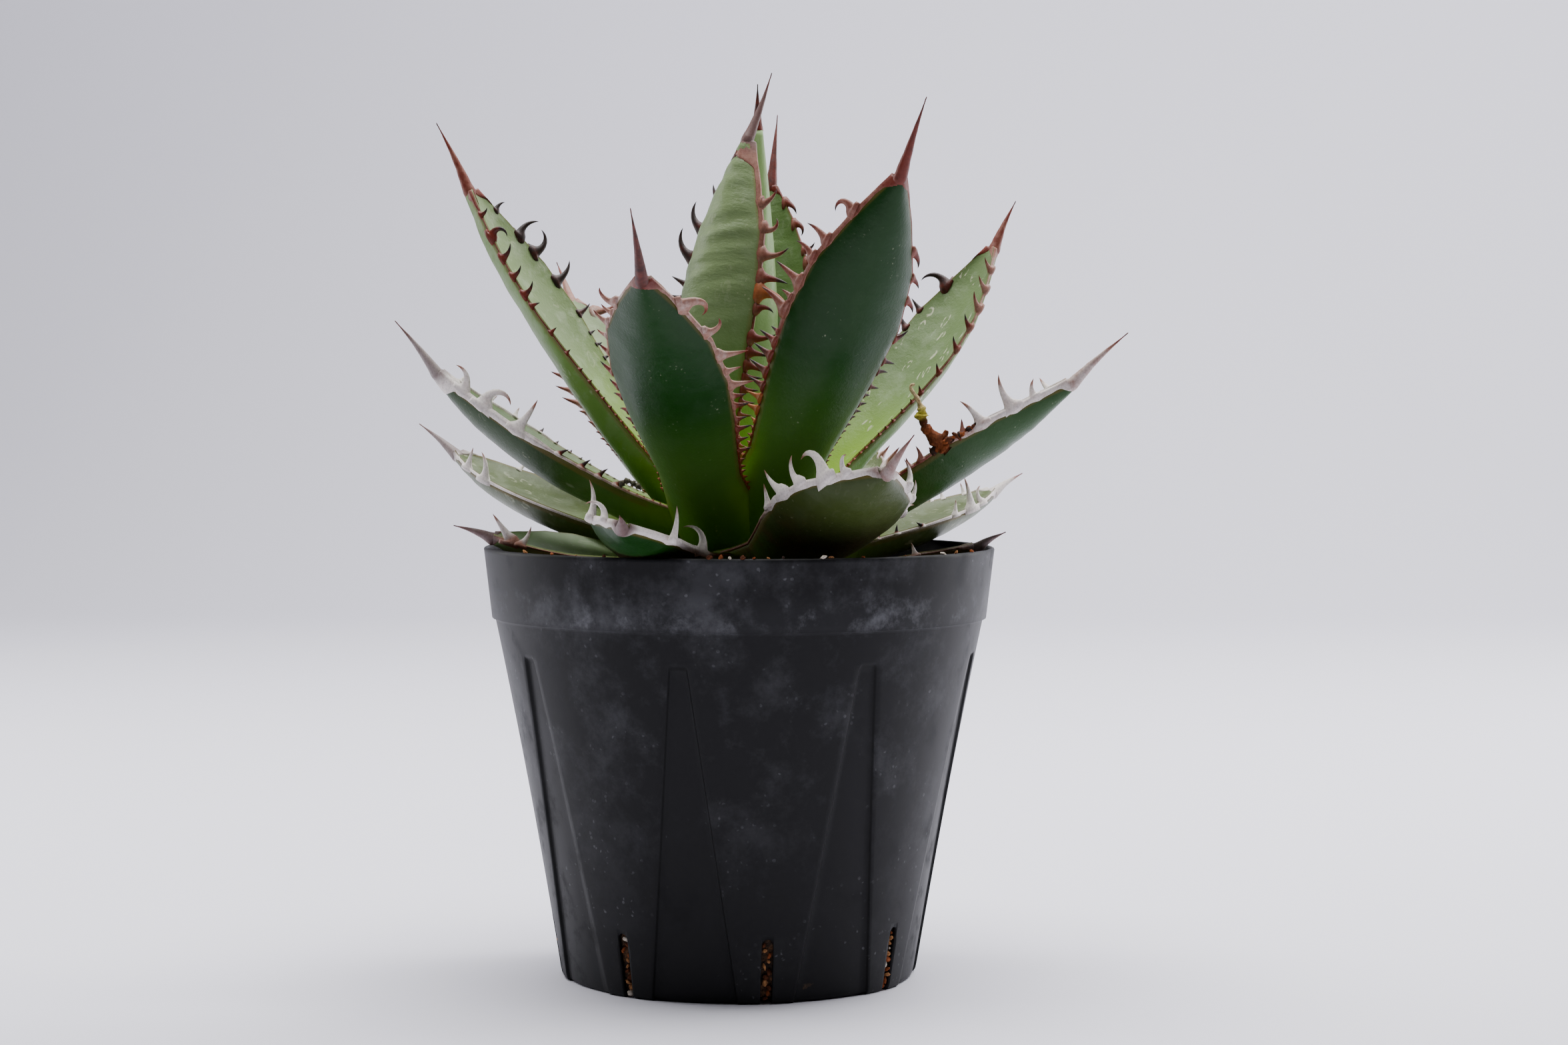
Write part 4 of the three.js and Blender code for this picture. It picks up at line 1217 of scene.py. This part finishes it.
# %% [markdown]
# ## Black plastic
# The plastic is matt and slightly worn. A pale film of dried water and dust lies on the collar's
# lower half and in patches on the body, with small specks in it, and fades towards the foot. The
# facets stay cleaner and the steps beside them are darkened with painted shade. The rest keeps a
# dull sheen.

# %% The plastic
PLASTIC = linear(17, 17, 19)
LIMESCALE = linear(132, 133, 138)
MUD = linear(110, 84, 54)
# Painted shade for the steps beside the facets
SHADE = linear(6, 6, 7)
# Heights in metres: where the collar's film begins and ends, and where the body's film fades
FILM_FOOT = (0.1045, 0.107)
FILM_TOP = (0.119, 0.109)
FILM_FADES = (0.02, 0.075)


def black_plastic():
    made, nodes, shader = new_material("black_plastic")
    place = body_place(nodes)
    height = nodes.parts(place)["Z"]
    sunk = nodes.attribute("sunk")
    film = nodes.group(DUST, place=place, patch_scale=34.0, level=0.48, speck_scale=520.0)
    fine = nodes.group(DUST, place=place, patch_scale=90.0, level=0.5, speck_scale=900.0)["Film"]
    collar = nodes.times(nodes.step(height, *FILM_FOOT), nodes.step(height, *FILM_TOP))
    dust = nodes.plus(
        nodes.times(film["Film"], nodes.plus(nodes.times(collar, 0.14), 0.11)),
        nodes.times(fine, nodes.plus(nodes.times(collar, 0.3), 0.08)),
        nodes.times(collar, 0.04),
    )
    outside_facets = nodes.minus(1.0, nodes.times(sunk, 0.75))
    higher_up = nodes.plus(nodes.times(nodes.step(height, *FILM_FADES), 0.75), 0.25)
    mud = nodes.group(BLOTCHES, place=place, scale=55.0, level=0.74, softness=0.03)["Mask"]
    # Painted shade: the steps beside the facets are darkened where shade falls in them
    painted_step_shade = nodes.times(nodes.step(sunk, 0.02, 0.3), nodes.step(sunk, 0.98, 0.7))
    colour = nodes.layers(
        PLASTIC,
        (nodes.times(dust, outside_facets, higher_up), LIMESCALE),
        (nodes.times(film["Specks"], film["Film"], 0.3), LIMESCALE),
        (nodes.times(mud, 0.5), MUD),
        (nodes.times(painted_step_shade, 0.75), SHADE),
    )
    roughness = nodes.plus(nodes.times(fine, 0.2), 0.46)
    grain = nodes.group(GRAIN, place=place, scale=1500.0)["Height"]
    wire(nodes, shader, colour, roughness, grain, strength=0.12, distance=0.1, specular=0.14)
    return made


BLACK_PLASTIC = black_plastic()
print("made", BLACK_PLASTIC.name)

# %% Loft the pot and cut its slits
pot = pot_wall().piece("nursery_pot", BLACK_PLASTIC, "pot_plastic", "pot")
for index in range(SECTORS):
    cutter = slit_cutter(index).piece(f"slit_cutter_{index}", BLACK_PLASTIC, "pot_plastic")
    cut = pot.modifiers.new(f"slit_{index}", "BOOLEAN")
    cut.operation = "DIFFERENCE"
    cut.solver = "EXACT"
    cut.object = cutter
bpy.context.view_layer.update()
cut_mesh = bpy.data.meshes.new_from_object(pot.evaluated_get(bpy.context.evaluated_depsgraph_get()))
pot.modifiers.clear()
pot.data = cut_mesh
for index in range(SECTORS):
    bpy.data.objects.remove(bpy.data.objects[f"slit_cutter_{index}"])
print("pot faces:", len(pot.data.polygons))

# %% [markdown]
# ## Potting mix and stem
# The pot holds a coarse mix of bark crumbs, coir and a few white grains. Its body is one lumpy
# loft that fills the pot and shows through the slits. Loose crumbs are scattered on top of it.

# %% The mix
SOIL_DARK = linear(44, 33, 25)
SOIL_LIGHT = linear(124, 88, 58)
SOIL_MIDDLE = 108.5
SOIL_EDGE = 116
SOIL_CLEAR = 0.6
HOLE_RADIUS = 15.8
HOLE_FLOOR = 92


def soil_finish():
    made, nodes, shader = new_material("potting_mix")
    place = body_place(nodes)
    coarse = nodes.group(BLOTCHES, place=place, scale=260.0, level=0.5, softness=0.14)
    fine = nodes.group(BLOTCHES, place=place, scale=1100.0, level=0.55, softness=0.1)
    grit = (nodes.times(fine["Mask"], 0.6), SOIL_DARK)
    colour = nodes.layers(SOIL_DARK, (coarse["Mask"], SOIL_LIGHT), grit)
    wire(nodes, shader, colour, 0.92, nodes.plus(coarse["Noise"], fine["Noise"]), strength=0.9, distance=1.2)
    return made


POTTING_MIX = soil_finish()


def soil_top(radius):
    return mix(SOIL_MIDDLE, SOIL_EDGE, smooth(radius, 34, 66))


def soil_skin():
    turns = np.radians(pot_columns(POT_HEIGHT)[0])
    mouth = body_radius(COLLAR_FOOT) - WALL
    edge = up_collar(SOIL_EDGE, body_radius(COLLAR_FOOT)) - WALL

    def flat(radius, lump, z=None):
        x, y = radius * np.sin(turns), -radius * np.cos(turns)
        rise = soil_top(radius) if z is None else z
        rough = lump * (ripple(x * 0.45, y * 0.45, 11) + 0.6 * ripple(x * 1.3, y * 1.3, 12))
        return np.stack([x, y, rise + rough], 1)

    rings = [pot_ring(z, WALL + SOIL_CLEAR) for z in (FLOOR + 0.3, 10, 20, 34, 66, 94)]
    rings += [flat(mouth - 0.3, 0, COLLAR_FOOT), flat(edge - 0.3, 0, SOIL_EDGE - 0.5)]
    rings += [flat(radius, 0.8) for radius in np.linspace(edge - 2, HOLE_RADIUS + 1, 44)]
    rings += [flat(HOLE_RADIUS, 0, SOIL_MIDDLE), flat(HOLE_RADIUS, 0, HOLE_FLOOR - 0.3)]
    return Skin().loft(np.array(rings))


soil_skin().piece("mix_body", POTTING_MIX, "potting_mix", "soil")
print("mix fills to", SOIL_EDGE, "mm")

# %% The stem
STEM_PROFILE = [(13, 92.4), (15.4, 97), (15.4, 110), (12.5, 118), (9, 127), (7.5, 131)]
STEM_TAN = linear(128, 112, 70)
STEM_SIDES = 56


def stem_finish():
    made, nodes, shader = new_material("stem_bark")
    place = body_place(nodes)
    blotch = nodes.group(BLOTCHES, place=place, scale=300.0, level=0.5, softness=0.2)
    colour = nodes.blend(blotch["Mask"], STEM_TAN, SOIL_DARK)
    wire(nodes, shader, colour, 0.8, blotch["Noise"], strength=0.6, distance=0.8)
    return made


def stem_skin():
    rows = np.array(STEM_PROFILE, float)
    z = np.linspace(rows[0, 1], rows[-1, 1], 40)
    radius = np.interp(z, rows[:, 1], rows[:, 0])
    Z, A = np.meshgrid(z, circle(STEM_SIDES), indexing="ij")
    scars = 0.25 * np.sin(Z * 1.6 + 0.8 * np.sin(A * 3)) + 0.2 * ripple(A * 3, Z * 0.4, 5)
    R = radius[:, None] + scars - 0.3
    return Skin().loft(np.stack([R * np.cos(A), R * np.sin(A), Z], -1))


stem_skin().piece("stem_bark", stem_finish(), "stem_skin", "stem")
print("stem in place")

# %% [markdown]
# ## Litter
# A living pot is never clean. Bark crumbs and white granules lie on the mix, on the lip and in the
# slits, a flower has dried on the edge of one old leaf, and a scrap of lichen sits between two
# others. They share one matt material that reads its colour from the points.

# %% Dry matter
CHESTNUT = linear(150, 80, 40)
BARK = linear(98, 54, 30)
TAN = linear(178, 126, 80)
PEAT = linear(54, 36, 26)
GRANULE = linear(222, 214, 198)
STRAW = linear(208, 186, 140)
POLLEN = linear(186, 176, 60)
LICHEN = linear(104, 102, 84)
CRUMB_SIDES = 9
TWIG_SIDES = 12


def dry_finish():
    made, nodes, shader = new_material("dry_matter")
    place = body_place(nodes)
    blotch = nodes.group(BLOTCHES, place=place, scale=1300.0, level=0.5, softness=0.2)
    skin = nodes.attribute("skin", "Vector")
    colour = nodes.blend(blotch["Mask"], skin, nodes.blend(1.0, skin, (0.45, 0.4, 0.38), "MULTIPLY"))
    wire(nodes, shader, colour, 0.88, blotch["Noise"], strength=0.7, distance=0.4, specular=0.2)
    return made


DRY_MATTER = dry_finish()
print("made", DRY_MATTER.name)


def crumb(built, place, size, colour, rng):
    """One small lumpy chip, turned at random."""
    turn = np.linalg.qr(rng.standard_normal((3, 3)))[0]
    reach = rng.uniform((0.7, 0.45, 0.25), (1.2, 0.8, 0.6)) * size
    tilt = np.linspace(-0.5, 0.5, 7)[1:-1, None] * np.pi
    angle = circle(CRUMB_SIDES)[None]
    level = np.cos(tilt)
    ball = np.stack([level * np.cos(angle), level * np.sin(angle), np.sin(tilt) + 0 * angle], -1)
    lumpy = ball * rng.uniform(0.75, 1.2, ball.shape[:2])[..., None]
    poles = np.array([[0, 0, -1.0], [0, 0, 1.0]])
    rings, ends = ((shape * reach) @ turn + place for shape in (lumpy, poles))
    built.loft(rings, ends, skin=np.broadcast_to(colour, rings.shape))


def twig(built, rows, seed, lumps=0.25):
    """A lumpy tube through rows of (place, radius, colour), with its corners rounded."""
    rows = np.array([[*place, radius, *colour] for place, radius, colour in rows], float)
    for _ in range(3):
        near, far = 0.75 * rows[:-1] + 0.25 * rows[1:], 0.25 * rows[:-1] + 0.75 * rows[1:]
        between = np.stack([near, far], 1).reshape(-1, rows.shape[1])
        rows = np.concatenate([rows[:1], between, rows[-1:]])
    line, radius, colour = rows[:, :3], rows[:, 3], rows[:, 4:]
    ahead = unit(np.gradient(line, axis=0))
    side = unit(np.cross(ahead, [0, 1, 0]))
    angle = circle(TWIG_SIDES)
    wobble = 1 + lumps * ripple(np.arange(len(line))[:, None] * 0.7, np.sin(angle)[None] * 1.5, seed)
    reach = radius[:, None] * wobble
    rings = tube(line, side, np.cross(ahead, side), reach, reach, angle)
    built.loft(rings, skin=np.repeat(colour[:, None], TWIG_SIDES, 1))


# %% Crumbs on the mix, in the slits and on the lip
rng = np.random.default_rng(7)
CRUMB_COLOURS = [CHESTNUT, BARK, TAN, PEAT, BARK, PEAT, GRANULE]
CRUMBS_ON_MIX = 300
CRUMB_RADII = (17, 71)  # mm from the middle of the pot
CRUMBS_IN_SLIT = 11
LIP_CIRCLE = 74.0  # radius on which the bits on the lip lie


def any_colour():
    return np.array(CRUMB_COLOURS[rng.integers(len(CRUMB_COLOURS))])


scattered = Skin()
for _ in range(CRUMBS_ON_MIX):
    radius, turn = rng.uniform(*CRUMB_RADII), rng.uniform(0, 2 * np.pi)
    spot = np.array([radius * np.cos(turn), radius * np.sin(turn), soil_top(radius) + 0.5])
    crumb(scattered, spot, rng.uniform(0.9, 2.8), any_colour(), rng)
scattered.piece("crumbs_on_mix", DRY_MATTER, "potting_mix")

packed = Skin()
for index in range(SECTORS):
    for z in np.linspace(1.6, 17, CRUMBS_IN_SLIT):
        radius, aside = body_radius(z) - rng.uniform(0.7, 1.4), rng.uniform(-1.0, 1.0)
        spot = np.array(at_slit(index, radius, aside, z))
        colour = np.array(GRANULE if rng.uniform() < 0.12 else (CHESTNUT, TAN, BARK)[rng.integers(3)])
        crumb(packed, spot, rng.uniform(0.8, 1.5), colour, rng)
packed.piece("crumbs_in_slits", DRY_MATTER, "potting_mix")

# (place across the front in mm, size, colour) of the bits that lie on the lip
LIP_CRUMBS = [
    (-60, 0.9, TAN), (-52, 0.7, CHESTNUT), (-45, 0.6, TAN), (-37, 0.8, BARK), (-8, 1.3, BARK),
    (-5, 1.0, CHESTNUT), (-2.5, 0.9, GRANULE), (1, 1.2, BARK), (4, 0.8, CHESTNUT), (8, 0.7, TAN),
    (12, 0.6, PEAT), (23, 1.5, GRANULE), (25, 0.8, TAN), (34, 0.6, CHESTNUT), (46, 0.6, BARK),
    (57, 1.1, GRANULE), (61, 0.7, TAN), (66, 0.8, CHESTNUT),
]
on_lip = Skin()
for x, size, colour in LIP_CRUMBS:
    spot = np.array([x, -math.sqrt(LIP_CIRCLE**2 - x * x), POT_HEIGHT + 0.2 * size])
    crumb(on_lip, spot, size, np.array(colour), rng)
on_lip.piece("crumbs_on_lip", DRY_MATTER, "potting_mix")
print("crumbs:", CRUMBS_ON_MIX + CRUMBS_IN_SLIT * SECTORS + len(LIP_CRUMBS))

# %% The dried flower and the lichen
FLOWERED_LEAF = 9
FLOWER_SHARE = 0.6  # of that leaf's length, on the edge that faces the viewer
TRAIL = (FLOWER_SHARE - 0.02, 0.73)
# (across, up, radius, colour) from its foot
FLOWER = [
    (3, -0.4, 1.6, BARK), (1.6, 0.8, 2.1, CHESTNUT), (-0.6, 2.9, 1.9, BARK), (-3, 5.6, 1.6, CHESTNUT),
    (-4, 7.2, 1.4, BARK), (-4.2, 8.4, 0.9, BARK), (-4.7, 9.6, 1.9, POLLEN), (-4.5, 11.2, 1.5, POLLEN),
    (-5.2, 13.2, 0.7, STRAW), (-6.2, 15.2, 0.6, STRAW), (-7.6, 17, 0.5, STRAW), (-8, 18.4, 0.45, STRAW),
    (-6.6, 18.8, 0.35, STRAW),
]
BRANCH = [(0.4, 2.4, 1.2, CHESTNUT), (2, 4, 1.0, BARK), (2.6, 5.6, 0.6, CHESTNUT)]
LICHEN_PLACE = (-31.5, -16, 144.2)
SCRAP = [
    (-3, -0.4, 0.5, LICHEN), (-2.2, 1, 0.8, LICHEN), (-0.6, 1.5, 0.7, LICHEN), (0.8, 0.6, 0.8, LICHEN),
    (2, 0, 0.7, LICHEN), (3.2, -1, 0.5, LICHEN),
]


def stand_up(place, rows):
    """Rows of (across, up, radius, colour) set in the plane that faces the viewer."""
    return [(np.asarray(place) + (across, 0, up), radius, colour) for across, up, radius, colour in rows]


flowered = leaves[FLOWERED_LEAF - 1]
foot = flowered.edge(np.array([FLOWER_SHARE]), -1)[0][0]
flower = Skin()
twig(flower, stand_up(foot, FLOWER), 3)
twig(flower, stand_up(foot, BRANCH), 4)
# Dark dry bits trail from its foot along the edge
for index, spot in enumerate(flowered.edge(np.linspace(*TRAIL, 17), -1)[0]):
    colour = np.array((BARK, PEAT, CHESTNUT)[index % 3])
    crumb(flower, spot + (0, -0.2, 0.5), rng.uniform(1.1, 2.0), colour, rng)
flower.piece("dried_flower", DRY_MATTER, "old_leaf")
lichen = Skin()
twig(lichen, stand_up(LICHEN_PLACE, SCRAP), 5, lumps=0.5)
lichen.piece("lichen_scrap", DRY_MATTER, "old_leaf")
print("flower stands", round(FLOWER[-1][1] - FLOWER[0][1], 1), "mm tall")

# %% [markdown]
# ## Floor, backdrop and light
# The pot stands on a seamless pale sweep. Soft boxes above and at both sides, a little behind the
# plant, give pale rims to the dark pot and leave the leaf backs that face the viewer deep. The
# right-hand box is the stronger of the two. A fourth box, high on the right, is turned to the
# backdrop and the far floor, so that they brighten to the right.

# %% The sweep
SWEEP_FRONT = -2.5  # these are in metres
SWEEP_BACK = 1.5
SWEEP_CURVE = 0.6
SWEEP_TOP = 3.0
SWEEP_SIDE = 4.0
SWEEP_PALE = (0.8, 0.79, 0.88)
SWEEP_DULL = (0.74, 0.73, 0.82)


def sweep():
    made, nodes, shader = new_material("pale_sweep")
    cloud = nodes.group(BLOTCHES, place=body_place(nodes), scale=3.0, level=0.5, softness=0.3)
    clouded = nodes.blend(nodes.times(cloud["Noise"], 0.08), SWEEP_PALE, SWEEP_DULL)
    nodes.feed(shader.inputs["Base Color"], clouded)
    nodes.feed(shader.inputs["Roughness"], 0.75)
    turns = np.linspace(0, np.pi / 2, 24)
    arc = [(SWEEP_BACK + SWEEP_CURVE * math.sin(a), SWEEP_CURVE * (1 - math.cos(a))) for a in turns]
    line = [(SWEEP_FRONT, 0.0)] + arc + [(SWEEP_BACK + SWEEP_CURVE, SWEEP_TOP)]
    built = bmesh.new()
    rows = [[built.verts.new((x, y, z)) for x in (-SWEEP_SIDE, SWEEP_SIDE)] for y, z in line]
    for near, far in zip(rows, rows[1:]):
        built.faces.new((near[0], near[1], far[1], far[0])).smooth = True
    mesh = bpy.data.meshes.new("pale_sweep")
    built.to_mesh(mesh)
    built.free()
    mesh.materials.append(made)
    stage = bpy.data.objects.new("pale_sweep", mesh)
    bpy.context.scene.collection.objects.link(stage)
    return stage


print("stage:", sweep().name)


# %% The lights
def softbox(name, place, target, size, power):
    """A rectangle of light at a place, turned to a target, in metres and watts."""
    light = bpy.data.lights.new(name, "AREA")
    light.shape = "RECTANGLE"
    light.size, light.size_y = size
    light.energy = power
    made = bpy.data.objects.new(name, light)
    made.location = place
    made.rotation_euler = (Vector(target) - Vector(place)).to_track_quat("-Z", "Y").to_euler()
    bpy.context.scene.collection.objects.link(made)


softbox("box_above", (0.0, 0.15, 1.3), (0, 0.1, 0.0), (1.3, 1.0), 38)
softbox("box_right", (1.2, 0.6, 0.5), (0, 0, 0.15), (0.6, 0.9), 12)
softbox("box_left", (-1.2, 0.6, 0.5), (0, 0, 0.15), (0.6, 0.9), 9)
softbox("box_backdrop", (1.0, 0.9, 1.8), (1.1, 2.0, 0.2), (1.4, 0.7), 48)
world = bpy.data.worlds.new("studio")
world.use_nodes = True
background = world.node_tree.nodes["Background"].inputs
background["Color"].default_value = (0.9, 0.9, 0.95, 1)
background["Strength"].default_value = 0.04
bpy.context.scene.world = world

# %% [markdown]
